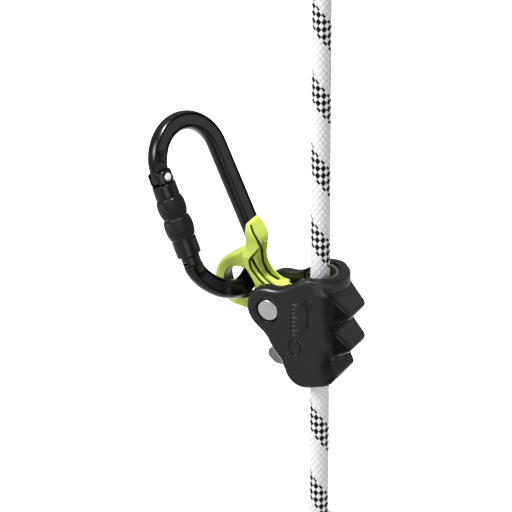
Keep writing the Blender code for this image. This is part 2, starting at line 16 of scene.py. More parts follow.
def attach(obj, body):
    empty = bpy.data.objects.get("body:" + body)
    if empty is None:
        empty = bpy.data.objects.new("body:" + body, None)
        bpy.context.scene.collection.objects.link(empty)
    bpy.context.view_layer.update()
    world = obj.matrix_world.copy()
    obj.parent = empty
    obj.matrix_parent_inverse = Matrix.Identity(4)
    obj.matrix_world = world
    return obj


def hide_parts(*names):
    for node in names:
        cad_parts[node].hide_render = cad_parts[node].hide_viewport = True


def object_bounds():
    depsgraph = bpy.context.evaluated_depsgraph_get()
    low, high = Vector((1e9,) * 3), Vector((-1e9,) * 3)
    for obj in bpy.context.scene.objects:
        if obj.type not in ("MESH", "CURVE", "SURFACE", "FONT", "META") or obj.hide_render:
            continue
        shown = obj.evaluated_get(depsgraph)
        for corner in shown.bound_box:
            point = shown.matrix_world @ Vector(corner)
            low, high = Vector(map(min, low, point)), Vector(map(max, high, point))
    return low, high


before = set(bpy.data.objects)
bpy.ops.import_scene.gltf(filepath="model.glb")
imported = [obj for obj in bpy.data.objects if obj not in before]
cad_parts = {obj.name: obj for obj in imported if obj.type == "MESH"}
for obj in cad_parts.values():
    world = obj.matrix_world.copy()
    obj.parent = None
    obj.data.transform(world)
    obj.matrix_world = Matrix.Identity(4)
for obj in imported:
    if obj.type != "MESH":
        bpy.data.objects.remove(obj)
cad_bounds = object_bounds()

MM = 0.001

# ---- camera

AZIMUTH, ELEVATION = 28, 28
LENS = 400
SENSOR = 36
FRAME_WIDTH = 283 * MM
AIM = Vector((-40, 0, 23.4)) * MM


def linked(name, data):
    """A new object in the scene."""
    obj = bpy.data.objects.new(name, data)
    bpy.context.scene.collection.objects.link(obj)
    return obj


def aim_from(obj, azimuth, elevation, distance, aim):
    """Places a camera or light so that it looks at the aim from those angles, in degrees."""
    a, e = math.radians(azimuth), math.radians(elevation)
    back = Vector((math.sin(a) * math.cos(e), -math.cos(a) * math.cos(e), math.sin(e)))
    obj.location = aim + back * distance
    obj.rotation_mode = "QUATERNION"
    obj.rotation_quaternion = (-back).to_track_quat("-Z", "Y")


def make_camera():
    data = bpy.data.cameras.new("camera")
    data.lens = LENS
    data.sensor_width = SENSOR
    data.clip_start = 0.1
    data.clip_end = 20
    camera = linked("camera", data)
    bpy.context.scene.camera = camera
    aim_from(camera, AZIMUTH, ELEVATION, FRAME_WIDTH * LENS / SENSOR, AIM)


make_camera()

# ---- materials


def nodes_of(name):
    """A new material with its node tree and its Principled shader."""
    made = bpy.data.materials.new(name)
    made.use_nodes = True
    return made, made.node_tree, made.node_tree.nodes["Principled BSDF"]


def set_inputs(node, **values):
    for key, value in values.items():
        node.inputs[key.replace("_", " ")].default_value = value


def noise(tree, scale, detail=3.0, roughness=0.6):
    coords = tree.nodes.new("ShaderNodeTexCoord")
    texture = tree.nodes.new("ShaderNodeTexNoise")
    tree.links.new(coords.outputs["Object"], texture.inputs["Vector"])
    set_inputs(texture, Scale=scale, Detail=detail, Roughness=roughness)
    return texture


def spread(tree, source, low, high):
    """A value node mapped from the noise's middle range to low..high."""
    ramp = tree.nodes.new("ShaderNodeMapRange")
    set_inputs(ramp, From_Min=0.3, From_Max=0.7, To_Min=low, To_Max=high)
    tree.links.new(source, ramp.inputs["Value"])
    return ramp.outputs["Result"]


def tint(tree, shader, source, dark, light):
    """Base colour that drifts between two close shades."""
    ramp = tree.nodes.new("ShaderNodeValToRGB")
    ramp.color_ramp.elements[0].position = 0.35
    ramp.color_ramp.elements[1].position = 0.65
    ramp.color_ramp.elements[0].color = (*dark, 1)
    ramp.color_ramp.elements[1].color = (*light, 1)
    tree.links.new(source, ramp.inputs["Fac"])
    tree.links.new(ramp.outputs["Color"], shader.inputs["Base Color"])


def bump(tree, shader, source, strength, distance):
    node = tree.nodes.new("ShaderNodeBump")
    set_inputs(node, Strength=strength, Distance=distance)
    tree.links.new(source, node.inputs["Height"])
    tree.links.new(node.outputs["Normal"], shader.inputs["Normal"])


def finish_material(name, dark, light, rough, metallic, grain_scale, grain, gloss=0.5):
    """A worked surface: slow drift in colour and gloss, with a fine grain on top."""
    made, tree, shader = nodes_of(name)
    shader.inputs["Metallic"].default_value = metallic
    shader.inputs["Specular IOR Level"].default_value = gloss
    drift = noise(tree, 60)
    fine = noise(tree, grain_scale, 2.0)
    tint(tree, shader, drift.outputs["Fac"], dark, light)
    result = spread(tree, fine.outputs["Fac"], rough[0], rough[1])
    tree.links.new(result, shader.inputs["Roughness"])
    bump(tree, shader, fine.outputs["Fac"], grain, 0.05 * MM)
    made.diffuse_color = (*light, 1)
    return made


HOUSING_BLACK = finish_material(
    "housing_black", (0.0035, 0.0035, 0.0037), (0.0060, 0.0060, 0.0062), (0.28, 0.40), 0.0, 1800,
    0.25, gloss=0.26,
)
BLACK_ANODISED = finish_material(
    "black_anodised", (0.002, 0.002, 0.0022), (0.004, 0.004, 0.0042), (0.18, 0.28), 0.0, 2500,
    0.12, gloss=0.25,
)
LIME = finish_material(
    "lime_anodised", (0.43, 0.53, 0.076), (0.49, 0.59, 0.098), (0.32, 0.44), 0.1, 3000, 0.12
)
STAINLESS = finish_material(
    "stainless", (0.44, 0.44, 0.45), (0.52, 0.52, 0.53), (0.30, 0.44), 1.0, 2500, 0.2
)
# Steel lighter than the stainless: painted light on the gate rivet, which lies in shade
RIVET_STEEL_PAINTED_LIGHT = finish_material(
    "rivet_steel_painted_light", (0.70, 0.70, 0.71), (0.80, 0.80, 0.81), (0.30, 0.44), 0.4, 2500, 0.2
)
BRONZE = finish_material(
    "bronze", (0.36, 0.24, 0.10), (0.45, 0.31, 0.15), (0.35, 0.5), 1.0, 2500, 0.2
)
SPRING_STEEL = finish_material(
    "spring_steel", (0.28, 0.28, 0.29), (0.36, 0.36, 0.37), (0.25, 0.4), 1.0, 2500, 0.1
)
SLEEVE_GREY = finish_material(
    "sleeve_plastic", (0.022, 0.022, 0.023), (0.032, 0.032, 0.033), (0.45, 0.6), 0.0, 1500, 0.3
)

# ---- distance fields


def smooth_min(a, b, radius):
    """Union of two fields, with a fillet of about that radius where they meet."""
    h = np.maximum(radius - np.abs(a - b), 0) / radius
    return np.minimum(a, b) - h * h * radius / 4


def smooth_max(a, b, radius):
    """Intersection of two fields with a rounded edge."""
    return -smooth_min(-a, -b, radius)


def cut(a, b, radius):
    """Field a with b taken away, its edge rounded."""
    return smooth_max(a, -b, radius)


def polygon_field(x, y, points):
    """Signed distance from a closed polygon, negative inside."""
    x, y = np.broadcast_arrays(x, y)
    px = np.array([p[0] for p in points], np.float32)
    py = np.array([p[1] for p in points], np.float32)
    qx, qy = np.roll(px, -1), np.roll(py, -1)
    best = np.full(x.shape, 1e9, np.float32)
    inside = np.zeros(x.shape, bool)
    for ax, ay, bx, by in zip(px, py, qx, qy):
        ex, ey = bx - ax, by - ay
        wx, wy = x - ax, y - ay
        t = np.clip((wx * ex + wy * ey) / max(ex * ex + ey * ey, 1e-9), 0, 1)
        best = np.minimum(best, (wx - ex * t) ** 2 + (wy - ey * t) ** 2)
        crosses = (ay > y) != (by > y)
        if by != ay:
            inside ^= crosses & (x < ex * (y - ay) / ey + ax)
    return np.where(inside, -1, 1) * np.sqrt(best)


def slab(value, centre, half):
    return np.abs(value - centre) - half


def fade(value, low, high):
    """Smooth rise from 0 to 1 as the value goes from low to high."""
    share = np.clip((value - low) / (high - low), 0, 1)
    return share * share * (3 - 2 * share)


def surface_net(field, origin, pitch):
    """(vertices, quads) of the field's zero surface on a regular grid, one vertex to each cell."""
    inside = field < 0
    shape = np.array(field.shape) - 1
    corners = [(i, j, k) for i in (0, 1) for j in (0, 1) for k in (0, 1)]

    def corner(array, c):
        return array[c[0]:shape[0] + c[0], c[1]:shape[1] + c[1], c[2]:shape[2] + c[2]]

    filled = sum(corner(inside, c).astype(np.int8) for c in corners)
    cells = np.argwhere((filled > 0) & (filled < 8))
    number = np.full(tuple(shape), -1, np.int64)
    number[tuple(cells.T)] = np.arange(len(cells))
    total = np.zeros((len(cells), 3))
    count = np.zeros(len(cells))
    for a in corners:
        for axis in range(3):
            if a[axis]:
                continue
            b = list(a)
            b[axis] = 1
            va = field[tuple((cells + a).T)]
            vb = field[tuple((cells + b).T)]
            hit = (va < 0) != (vb < 0)
            t = va[hit] / (va[hit] - vb[hit])
            place = np.tile(np.array(a, float), (hit.sum(), 1))
            place[:, axis] = t
            total[hit] += place
            count[hit] += 1
    vertices = (cells + total / count[:, None]) * pitch + np.array(origin)
    quads = []
    for axis in range(3):
        u, v = (axis + 1) % 3, (axis + 2) % 3
        low = [slice(None)] * 3
        high = [slice(None)] * 3
        low[axis], high[axis] = slice(0, -1), slice(1, None)
        change = inside[tuple(low)] != inside[tuple(high)]
        places = np.argwhere(change)
        keep = (places[:, u] > 0) & (places[:, v] > 0)
        keep &= (places[:, u] < shape[u]) & (places[:, v] < shape[v])
        places = places[keep]
        ring = []
        for du, dv in ((-1, -1), (0, -1), (0, 0), (-1, 0)):
            cell = places.copy()
            cell[:, u] += du
            cell[:, v] += dv
            ring.append(number[tuple(cell.T)])
        faces = np.stack(ring, 1)
        flip = ~inside[tuple(places.T)]
        faces[flip] = faces[flip][:, ::-1]
        quads.append(faces)
    return vertices, np.concatenate(quads)


def mesh_of(name, vertices, faces):
    """A smooth-shaded mesh from arrays, in metres."""
    mesh = bpy.data.meshes.new(name)
    mesh.vertices.add(len(vertices))
    mesh.vertices.foreach_set("co", np.asarray(vertices, np.float32).ravel())
    size = faces.shape[1]
    mesh.loops.add(faces.size)
    mesh.loops.foreach_set("vertex_index", faces.astype(np.int32).ravel())
    mesh.polygons.add(len(faces))
    mesh.polygons.foreach_set("loop_start", np.arange(0, faces.size, size, dtype=np.int32))
    mesh.update(calc_edges=True)
    mesh.validate()
    mesh.shade_smooth()
    return mesh


def placed(name, mesh, material):
    """A new object in the scene with the mesh and its one material."""
    mesh.materials.append(material)
    return linked(name, mesh)


SMOOTH_IN, SMOOTH_OUT = 0.5, -0.52


def relax(vertices, quads):
    """Light smoothing that doesn't shrink, to take the grid's steps out of the surface."""
    edges = np.concatenate([quads[:, [i, (i + 1) % 4]] for i in range(4)])
    edges = np.unique(np.sort(edges, 1), axis=0)
    degree = np.bincount(edges.ravel(), minlength=len(vertices))[:, None]
    for weight in (SMOOTH_IN, SMOOTH_OUT):
        total = np.zeros_like(vertices)
        for axis in range(3):
            total[:, axis] = np.bincount(
                edges[:, 0], vertices[edges[:, 1], axis], len(vertices)
            ) + np.bincount(edges[:, 1], vertices[edges[:, 0], axis], len(vertices))
        move = total / np.maximum(degree, 1) - vertices
        vertices = vertices + move * weight
    return vertices


def solid(name, build, low, high, pitch, material):
    """An object meshed from build(x, y, z), a field in millimetres over the box low..high."""
    axes = [np.arange(a, b + pitch, pitch, dtype=np.float32) for a, b in zip(low, high)]
    x, y, z = np.meshgrid(*axes, indexing="ij", sparse=True)
    field = build(x, y, z).astype(np.float32)
    vertices, quads = surface_net(field, low, pitch)
    vertices = relax(vertices, quads)
    mesh = mesh_of(name, vertices * MM, quads)
    return placed(name, mesh, material)


# ---- outlines


def arc(centre, radius, start, end, step=6):
    """Points on an arc from start to end, in degrees."""
    count = max(2, math.ceil(abs(end - start) / step))
    turns = [math.radians(start + (end - start) * i / count) for i in range(count + 1)]
    return [(centre[0] + radius * math.cos(a), centre[1] + radius * math.sin(a)) for a in turns]


def rounded(corners, step=12):
    """The outline through corners of (x, y, radius), each corner replaced by its arc."""
    points = []
    for i, (x, y, radius) in enumerate(corners):
        here = Vector((x, y))
        to_last = (Vector(corners[i - 1][:2]) - here).normalized()
        to_next = (Vector(corners[(i + 1) % len(corners)][:2]) - here).normalized()
        angle = to_last.angle(to_next)
        if not radius or abs(angle - math.pi) < 0.01:
            points.append((x, y))
            continue
        centre = here + (to_last + to_next).normalized() * (radius / math.sin(angle / 2))
        first = here + to_last * (radius / math.tan(angle / 2)) - centre
        last = here + to_next * (radius / math.tan(angle / 2)) - centre
        sweep = math.atan2(first.cross(last), first.dot(last))
        count = max(1, math.ceil(abs(math.degrees(sweep)) / step))
        for k in range(count + 1):
            point = centre + Matrix.Rotation(sweep * k / count, 2) @ first
            points.append((point.x, point.y))
    return points


# ---- painted shade by place


def shade_by_place(material, colour, gloss):
    """Painted shade from the mesh's shade attribute: at 1 that colour and no gloss, below 0
    glossier than usual.
    """
    tree = material.node_tree
    shader = tree.nodes["Principled BSDF"]
    before = shader.inputs["Base Color"].links[0].from_socket
    mask = tree.nodes.new("ShaderNodeAttribute")
    mask.attribute_name = "shade"
    mix = tree.nodes.new("ShaderNodeMix")
    mix.data_type = "RGBA"
    tree.links.new(mask.outputs["Fac"], mix.inputs["Factor"])
    tree.links.new(before, mix.inputs["A"])
    mix.inputs["B"].default_value = (*colour, 1)
    tree.links.new(mix.outputs["Result"], shader.inputs["Base Color"])
    shine = tree.nodes.new("ShaderNodeMapRange")
    shine.clamp = False
    set_inputs(shine, To_Min=gloss, To_Max=0.0)
    tree.links.new(mask.outputs["Fac"], shine.inputs["Value"])
    tree.links.new(shine.outputs["Result"], shader.inputs["Specular IOR Level"])


def vertex_places(obj):
    """The mesh's x, y and z in millimetres."""
    place = np.empty(len(obj.data.vertices) * 3)
    obj.data.vertices.foreach_get("co", place)
    return (place.reshape(-1, 3) / MM).T


def store_shade(obj, share):
    """Keeps one value for each vertex, read by shade_by_place."""
    attribute = obj.data.attributes.new("shade", "FLOAT", "POINT")
    attribute.data.foreach_set("value", share.astype(np.float32))


# ---- rope

ROPE_RADIUS = 5.5
ROPE_BOTTOM = -131.7
ROPE_TOP = 202.7
STRANDS = 10  # in each direction round the sheath
STRAND_RISE = 4.41  # rope length for each strand crossing
BRAID_RELIEF = 0.5
TRACER_START, TRACER_END = 0.5, 4.5
TURN_PHASE = 2.2
ROW_PHASE = 2.4
TWIST_ZONE = (-45, 25)  # the rope is twisted inside the housing
TWIST = 3.7
YARN_WAVES = 22.0
# How sharply and how strongly painted shade greys the crevices between the braid's strands
CREVICE_SHADE_POWER, CREVICE_SHADE_SHARE = 7.0, 0.7


def braid_material():
    """White sheath with a black tracer: four neighbouring strands of one direction, with painted
    shade greying the crevices between strands.
    """
    made, tree, shader = nodes_of("braided_sheath")
    nodes, links = tree.nodes, tree.links

    def math_node(operation, a, b=0.0):
        node = nodes.new("ShaderNodeMath")
        node.operation = operation
        for index, value in enumerate((a, b)):
            if isinstance(value, float | int):
                node.inputs[index].default_value = value
            else:
                links.new(value, node.inputs[index])
        return node.outputs[0]

    place = nodes.new("ShaderNodeUVMap")
    place.uv_map = "braid"
    split = nodes.new("ShaderNodeSeparateXYZ")
    links.new(place.outputs["UV"], split.inputs["Vector"])
    right = math_node("ADD", split.outputs["X"], split.outputs["Y"])
    left = math_node("SUBTRACT", split.outputs["X"], split.outputs["Y"])
    right_strand = math_node("FLOOR", right)
    left_strand = math_node("FLOOR", left)
    parity = math_node("FLOORED_MODULO", math_node("ADD", right_strand, left_strand), 2.0)
    on_top = math_node("LESS_THAN", parity, 0.5)
    turn = math_node("FLOORED_MODULO", right, float(STRANDS))
    after = math_node("GREATER_THAN", turn, TRACER_START)
    tracer = math_node("MULTIPLY", after, math_node("LESS_THAN", turn, TRACER_END))
    black = math_node("MULTIPLY", on_top, tracer)
    along = math_node("FRACT", left)
    across = math_node("FRACT", right)
    edge_a = math_node("ABSOLUTE", math_node("SUBTRACT", across, 0.5))
    edge_b = math_node("ABSOLUTE", math_node("SUBTRACT", along, 0.5))
    edge = math_node("MULTIPLY", math_node("MAXIMUM", edge_a, edge_b), 2.0)
    crevice_shade = math_node("POWER", edge, CREVICE_SHADE_POWER)
    rising = math_node("MULTIPLY", math_node("ADD", along, across), YARN_WAVES)
    falling = math_node("MULTIPLY", math_node("SUBTRACT", along, across), YARN_WAVES)
    yarn_a = math_node("SINE", rising)
    yarn_b = math_node("SINE", falling)
    pick = nodes.new("ShaderNodeMix")
    links.new(on_top, pick.inputs["Factor"])
    links.new(yarn_b, pick.inputs["A"])
    links.new(yarn_a, pick.inputs["B"])
    fuzz = noise(tree, 1500, 3.0)
    colour = nodes.new("ShaderNodeMix")
    colour.data_type = "RGBA"
    links.new(black, colour.inputs["Factor"])
    shade = nodes.new("ShaderNodeValToRGB")
    shade.color_ramp.elements[0].color = (0.74, 0.74, 0.735, 1)
    shade.color_ramp.elements[1].color = (0.95, 0.95, 0.945, 1)
    shade.color_ramp.elements[0].position = 0.15
    shade.color_ramp.elements[1].position = 0.75
    links.new(spread(tree, pick.outputs["Result"], 0.35, 0.9), shade.inputs["Fac"])
    # Painted shade: grey mixed into the white along the edges of each strand
    gap = nodes.new("ShaderNodeMix")
    gap.data_type = "RGBA"
    links.new(math_node("MULTIPLY", crevice_shade, CREVICE_SHADE_SHARE), gap.inputs["Factor"])
    links.new(shade.outputs["Color"], gap.inputs["A"])
    gap.inputs["B"].default_value = (0.45, 0.45, 0.45, 1)
    links.new(gap.outputs["Result"], colour.inputs["A"])
    colour.inputs["B"].default_value = (0.004, 0.004, 0.0045, 1)
    links.new(colour.outputs["Result"], shader.inputs["Base Color"])
    links.new(spread(tree, fuzz.outputs["Fac"], 0.75, 0.95), shader.inputs["Roughness"])
    shader.inputs["Specular IOR Level"].default_value = 0.15
    bump(tree, shader, pick.outputs["Result"], 0.5, 0.12 * MM)
    return made


BRAID = braid_material()


def path_frames(points):
    """Unit tangents, and normals carried along the path without twist."""
    tangents = np.gradient(points, axis=0)
    tangents /= np.linalg.norm(tangents, axis=1)[:, None]
    first = np.array([1.0, 0, 0])
    if abs(tangents[0] @ first) > 0.9:
        first = np.array([0, 1.0, 0])
    normals = []
    normal = first - tangents[0] * (first @ tangents[0])
    for tangent in tangents:
        normal = normal - tangent * (normal @ tangent)
        normal /= np.linalg.norm(normal)
        normals.append(normal)
    return tangents, np.array(normals)


def resample(points, step):
    """The same line with points an even step apart."""
    points = np.asarray(points, float)
    lengths = np.r_[0, np.cumsum(np.linalg.norm(np.diff(points, axis=0), axis=1))]
    places = np.linspace(0, lengths[-1], max(2, round(lengths[-1] / step) + 1))
    return np.stack([np.interp(places, lengths, points[:, k]) for k in range(3)], 1)


def store_braid_map(mesh, u, v, side_faces):
    """The braid coordinates as a UV map, made continuous in the faces that close the turn."""
    around = u.shape[1]
    loops = np.empty(len(mesh.loops), np.int32)
    mesh.loops.foreach_get("vertex_index", loops)
    ring_number, column = loops // around, loops % around
    across = u[ring_number, column]
    corner = np.arange(side_faces)[:, None] * 4 + np.arange(4)
    low = across[corner].min(1)
    first_strand = across[corner] - low[:, None] < 1
    seam = across[corner].max(1) - low > STRANDS / 2
    across[corner] += np.where(seam[:, None] & first_strand, STRANDS, 0)
    layer = mesh.uv_layers.new(name="braid")
    pairs = np.stack([across, v[ring_number, 0]], 1)
    layer.data.foreach_set("uv", pairs.astype(np.float32).ravel())


def braided_tube(name, points, step, around, twist=None, radius=ROPE_RADIUS):
    """A closed tube along the points, its sheath plaited one over one, with braid coordinates."""
    points = resample(points, step)
    tangents, normals = path_frames(points)
    sides = np.cross(tangents, normals)
    count = len(points)
    turn = np.arange(around) / around
    distance = np.arange(count) * np.linalg.norm(points[1] - points[0])
    extra = np.zeros(count) if twist is None else twist(points[:, 2])
    u = turn[None, :] * STRANDS + TURN_PHASE + 0 * distance[:, None]
    v = distance[:, None] / STRAND_RISE + ROW_PHASE + extra[:, None]
    right, left = u + v, u - v
    over = np.floor(right) + np.floor(left)
    p, q = right % 1, left % 1
    across = np.where(over % 2 < 0.5, p, q)
    along = np.where(over % 2 < 0.5, q, p)
    pillow = (4 * across * (1 - across)) ** 0.5 * (4 * along * (1 - along)) ** 0.3
    r = radius - BRAID_RELIEF * (1 - pillow)
    angle = turn[None, :] * 2 * math.pi
    ring = normals[:, None] * np.cos(angle)[..., None] + sides[:, None] * np.sin(angle)[..., None]
    vertices = (points[:, None] + ring * r[..., None]).reshape(-1, 3)
    i, j = np.meshgrid(np.arange(count - 1), np.arange(around), indexing="ij")
    k = (j + 1) % around
    faces = np.stack([i * around + j, i * around + k, (i + 1) * around + k,
                      (i + 1) * around + j], -1).reshape(-1, 4)
    mesh = mesh_of(name, vertices * MM, faces)
    cage = bmesh.new()
    cage.from_mesh(mesh)
    bmesh.ops.holes_fill(cage, edges=[e for e in cage.edges if e.is_boundary], sides=0)
    bmesh.ops.recalc_face_normals(cage, faces=cage.faces)
    cage.to_mesh(mesh)
    cage.free()
    mesh.shade_smooth()
    store_braid_map(mesh, u, v, (count - 1) * around)
    return placed(name, mesh, BRAID)


def rope_twist(z):
    """Rows that the braid has turned by, from none above the housing to all of them below."""
    return TWIST * fade(-z, -TWIST_ZONE[1], -TWIST_ZONE[0])


ROPE_STEP = 0.5
ROPE_PATH = resample([(0, 0, ROPE_TOP), (0, 0, ROPE_BOTTOM)], ROPE_STEP)


def make_rope():
    rope = braided_tube("braided_rope", ROPE_PATH, ROPE_STEP, 100, rope_twist)
    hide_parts("rope")
    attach(rope, "rope_line")
    return rope


# The sleeve over the sewing, from just above the rope's end to the loop
END_SLEEVE_BASE, END_SLEEVE_LENGTH = 203.3, 24
END_SLEEVE_WIDE, END_SLEEVE_GROWTH, END_SLEEVE_THICK = 7.9, 4.4, 7.0
WAIST_DEPTH, WAIST_WIDTH = 1.1, 2.6
RIB_HEIGHT, RIB_PITCH = 0.09, 3.2
EYE_BASE = END_SLEEVE_BASE + END_SLEEVE_LENGTH + 0.3
EYE_LOOP = ((6.2, 0), (6.4, 4), (10.0, 10), (13.8, 18), (12.2, 27), (0, 32.5))


def smooth_line(points, per_span=12):
    """Catmull-Rom points through an open line."""
    points = [np.array(p, float) for p in points]
    ends = [2 * points[0] - points[1], *points, 2 * points[-1] - points[-2]]
    line = []
    for a, b, c, d in zip(ends, ends[1:], ends[2:], ends[3:]):
        for k in range(per_span):
            t = k / per_span
            line.append(0.5 * (2 * b + (c - a) * t + (2 * a - 5 * b + 4 * c - d) * t * t
                               + (3 * b - a - 3 * c + d) * t ** 3))
    return [*line, points[-1]]


def make_rope_eye():
    half = [(x, 0, EYE_BASE + z) for x, z in EYE_LOOP]
    loop = smooth_line(half + [(-x, 0, z) for x, _, z in half[-2::-1]])
    eye = braided_tube("braided_eye", loop, 0.7, 72)
    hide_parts("rope_eye")
    return eye


def end_sleeve_field(x, y, z):
    """A flat tube that widens towards the loop, with a waist up its middle and fine ribs."""
    above = z - END_SLEEVE_BASE
    height = np.clip(above / END_SLEEVE_LENGTH, 0, 1)
    wide = END_SLEEVE_WIDE + END_SLEEVE_GROWTH * height ** 0.8
    shape = (np.hypot(x / wide, y / END_SLEEVE_THICK) - 1) * 6.5
    waist = WAIST_DEPTH * np.clip(height * 1.6 - 0.5, 0, 1) * np.exp(-((x / WAIST_WIDTH) ** 2))
    ribs = RIB_HEIGHT * np.cos(above * 2 * math.pi / RIB_PITCH)
    middle = END_SLEEVE_LENGTH / 2
    return smooth_max(shape + waist + ribs, slab(above, middle, middle - 0.1), 2.5)


def make_end_sleeve():
    sleeve = solid("sewn_eye_sleeve", end_sleeve_field, (-14, -9, 202), (14, 9, 229), 0.5,
                   SLEEVE_GREY)
    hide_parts("eye_sleeve")
    return sleeve


# The knot: the rope's tail, and turns of it wrapped round the tail and tucked in at both ends
KNOT_TOP = ROPE_BOTTOM - 0.8
KNOT_CORD_RADIUS = 5.3
TAIL_LENGTH = 42.5
WRAP_TURNS, WRAP_POINTS, WRAP_START, WRAP_LENGTH = 2.9, 120, 5.6, 22.4
TUCKED_RADIUS, WRAP_RADIUS, TUCK_RATE = 2.5, 11.1, 14


def wrap_point(share):
    """A point on the wraps, with share going from 0 to 1 down the knot."""
    angle = 2 * math.pi * WRAP_TURNS * share
    tuck = min(1, share * TUCK_RATE, (1 - share) * TUCK_RATE)
    radius = TUCKED_RADIUS + (WRAP_RADIUS - TUCKED_RADIUS) * tuck
    height = KNOT_TOP - WRAP_START - WRAP_LENGTH * share
    return radius * math.cos(angle), radius * math.sin(angle), height


def make_stopper_knot():
    tail = [(0, 0, KNOT_TOP), (0, 0, KNOT_TOP - TAIL_LENGTH)]
    core = braided_tube("knot_tail", tail, 0.6, 80, radius=KNOT_CORD_RADIUS)
    wraps = [wrap_point(k / WRAP_POINTS) for k in range(WRAP_POINTS + 1)]
    barrel = braided_tube("knot_wraps", wraps, 0.7, 72, radius=KNOT_CORD_RADIUS)
    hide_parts("stopper_knot")
    return core, barrel


def make_rope_ends():
    eye = make_rope_eye()
    sleeve = make_end_sleeve()
    core, barrel = make_stopper_knot()
    for piece in (eye, sleeve, core, barrel):
        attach(piece, "rope_line")
    return eye, sleeve, core, barrel


rope_object = make_rope()
rope_ends = make_rope_ends()

# ---- housing

PIN = (-25.0, 0.0)
HALF_WIDTH = 15.0
SLOT_HALF = 8.3
CHANNEL_RADIUS = 10.9
NOSE = arc(PIN, 13.1, 90, 232)
HOUSING_OUTLINE = rounded([(x, z, 0) for x, z in NOSE] + [
    (-26.4, -15.6, 10), (-21.3, -24.2, 2), (-17.2, -28.4, 2), (-9.8, -46.0, 11),
    (12.6, -38.6, 2), (15.6, -33.4, 2), (17.6, -28.0, 3), (17.6, 24.9, 1.5), (-1.5, 24.9, 14),
    (-18.5, 13.3, 14),
])
# The cheek ends in a scalloped edge that follows the knuckles
CHEEK_EDGE = rounded([
    (-45, 30, 0), (9.0, 30, 0), (9.4, 21.5, 6), (12.2, 16.0, 5), (12.4, 6.0, 6), (13.6, -2.0, 4),
    (14.4, -9.0, 8), (16.4, -14.8, 4), (12.6, -19.4, 4), (11.0, -24.5, 5), (11.2, -31.0, 6),
    (14.6, -38.0, 2), (14.6, -50, 0), (-45, -50, 0),
])
RIDGES = rounded([
    (4, 17.6, 0), (12.2, 17.6, 3), (25.6, 4.9, 3.0), (14.6, -1.4, 1.6), (14.2, -4.4, 1.6),
    (26.3, -15.4, 3.0), (12.8, -22.2, 1.6), (12.6, -25.6, 1.6), (16.6, -33.6, 2.2),
    (13.0, -38.2, 0), (4, -38.2, 0),
])
RIDGE_PLAN = rounded([(0, -11.7, 0), (14.0, -12.2, 8), (25.2, -9.8, 3.6), (26.4, 0, 30),
                      (25.2, 9.8, 3.6), (14.0, 12.2, 8), (0, 11.7, 0)])
CORE_RADIUS = 12.4
COLLAR_RADIUS, COLLAR_BASE, COLLAR_RISE = 15, 17.2, 6
CHANNEL_MOUTH, SLOT_END = -14, -8
JOIN_FILLET = 2.4  # where the core, the ridges and the cheeks run together
PIN_BORE, RECESS_RADIUS, RECESS_FLOOR = 4.3, 7.0, 12.3
MARK_DEPTH = 0.9
CHEEK_BEVEL = 0.9
EDGE_SHINE, RIDGE_SHINE, COLLAR_SHINE = 2.5, 0.55, 0.9
ARROW_X, ARROW_TIP = 0.2, 12.4
SCALE_BARS, SCALE_LEFT, SCALE_TOP, SCALE_PITCH = 8, -10.4, 8.4, 2.7


def marks_field(x, z):
    """Generic marks cut into the front cheek: an arrow up the rope, a scale and a ring."""
    shaft = np.maximum(slab(x, ARROW_X, 0.65), slab(z, 2.0, 7.4))
    wing = np.abs(np.abs(x - ARROW_X) - 0.75 * (ARROW_TIP - z)) * 0.8 - 0.7
    marks = np.minimum(shaft, np.maximum(wing, slab(z, ARROW_TIP - 2.3, 2.3)))
    for k in range(SCALE_BARS):
        half = 2.2 if k % 3 == 0 else 1.3
        height = SCALE_TOP - SCALE_PITCH * k
        bar = np.maximum(slab(x, SCALE_LEFT + half, half), slab(z, height, 0.62))
        marks = np.minimum(marks, bar)
    ring = np.abs(np.hypot((x + 7.6) * 1.2, z + 18.6) - 4.4) - 0.7
    return np.minimum(marks, ring)


def housing_field(x, y, z):
    """Two cheeks on a ridged round back, with a channel for the rope and a slot for the arm."""
    side = polygon_field(x, z, HOUSING_OUTLINE)
    face = slab(y, 0, HALF_WIDTH)
    bevel = (side + face + CHEEK_BEVEL) * math.sqrt(0.5)
    cheeks = smooth_max(smooth_max(side, face, 0.5), bevel, 0.4)
    cheeks = smooth_max(cheeks, polygon_field(x, z, CHEEK_EDGE), 5.0)
    collar = np.hypot(np.maximum(x - 3, 0) / 14 * COLLAR_RADIUS, y) - COLLAR_RADIUS
    core = np.hypot(np.maximum(x, 0), y) - CORE_RADIUS
    base = COLLAR_BASE + COLLAR_RISE * fade(np.abs(y), 8, 13.5)
    collar = smooth_max(collar, base - z, 2.0)
    body = smooth_max(side, np.minimum(core, collar), 1.4)
    ridges = smooth_max(polygon_field(x, z, RIDGES), polygon_field(x, y, RIDGE_PLAN), 2.6)
    body = smooth_min(body, ridges, JOIN_FILLET)
    body = smooth_min(body, cheeks, JOIN_FILLET)
    inner = np.where(x > 0, np.hypot(x, y), np.abs(y)) - CHANNEL_RADIUS
    channel = np.maximum(inner, CHANNEL_MOUTH - x)
    slot = np.maximum(np.abs(y) - SLOT_HALF, x - SLOT_END)
    body = cut(body, np.minimum(channel, slot) + 0 * z, 0.9)
    window = np.maximum(slab(x, -21.5, 8.5), slab(z, -29.8, 6.2))  # room for the liner's lugs
    body = cut(body, np.maximum(window, np.abs(y) - CHANNEL_RADIUS), 0.4)
    around = np.hypot(x - PIN[0], z - PIN[1])
    body = cut(body, np.maximum(around - RECESS_RADIUS, RECESS_FLOOR - np.abs(y)), 0.6)
    marks = smooth_max(marks_field(x, z), y + HALF_WIDTH - MARK_DEPTH, 0.3)
    body = cut(body, marks, 0.15)
    return np.maximum(body, PIN_BORE - around)


# Spots of painted shade in the valleys between the knuckles, and how dark the painted shade gets
# there and beside the cheeks
VALLEYS = ((14.6, -2.9), (12.9, -23.6))
VALLEY_SHADE, ROLL_SHADE = 0.8, 0.55


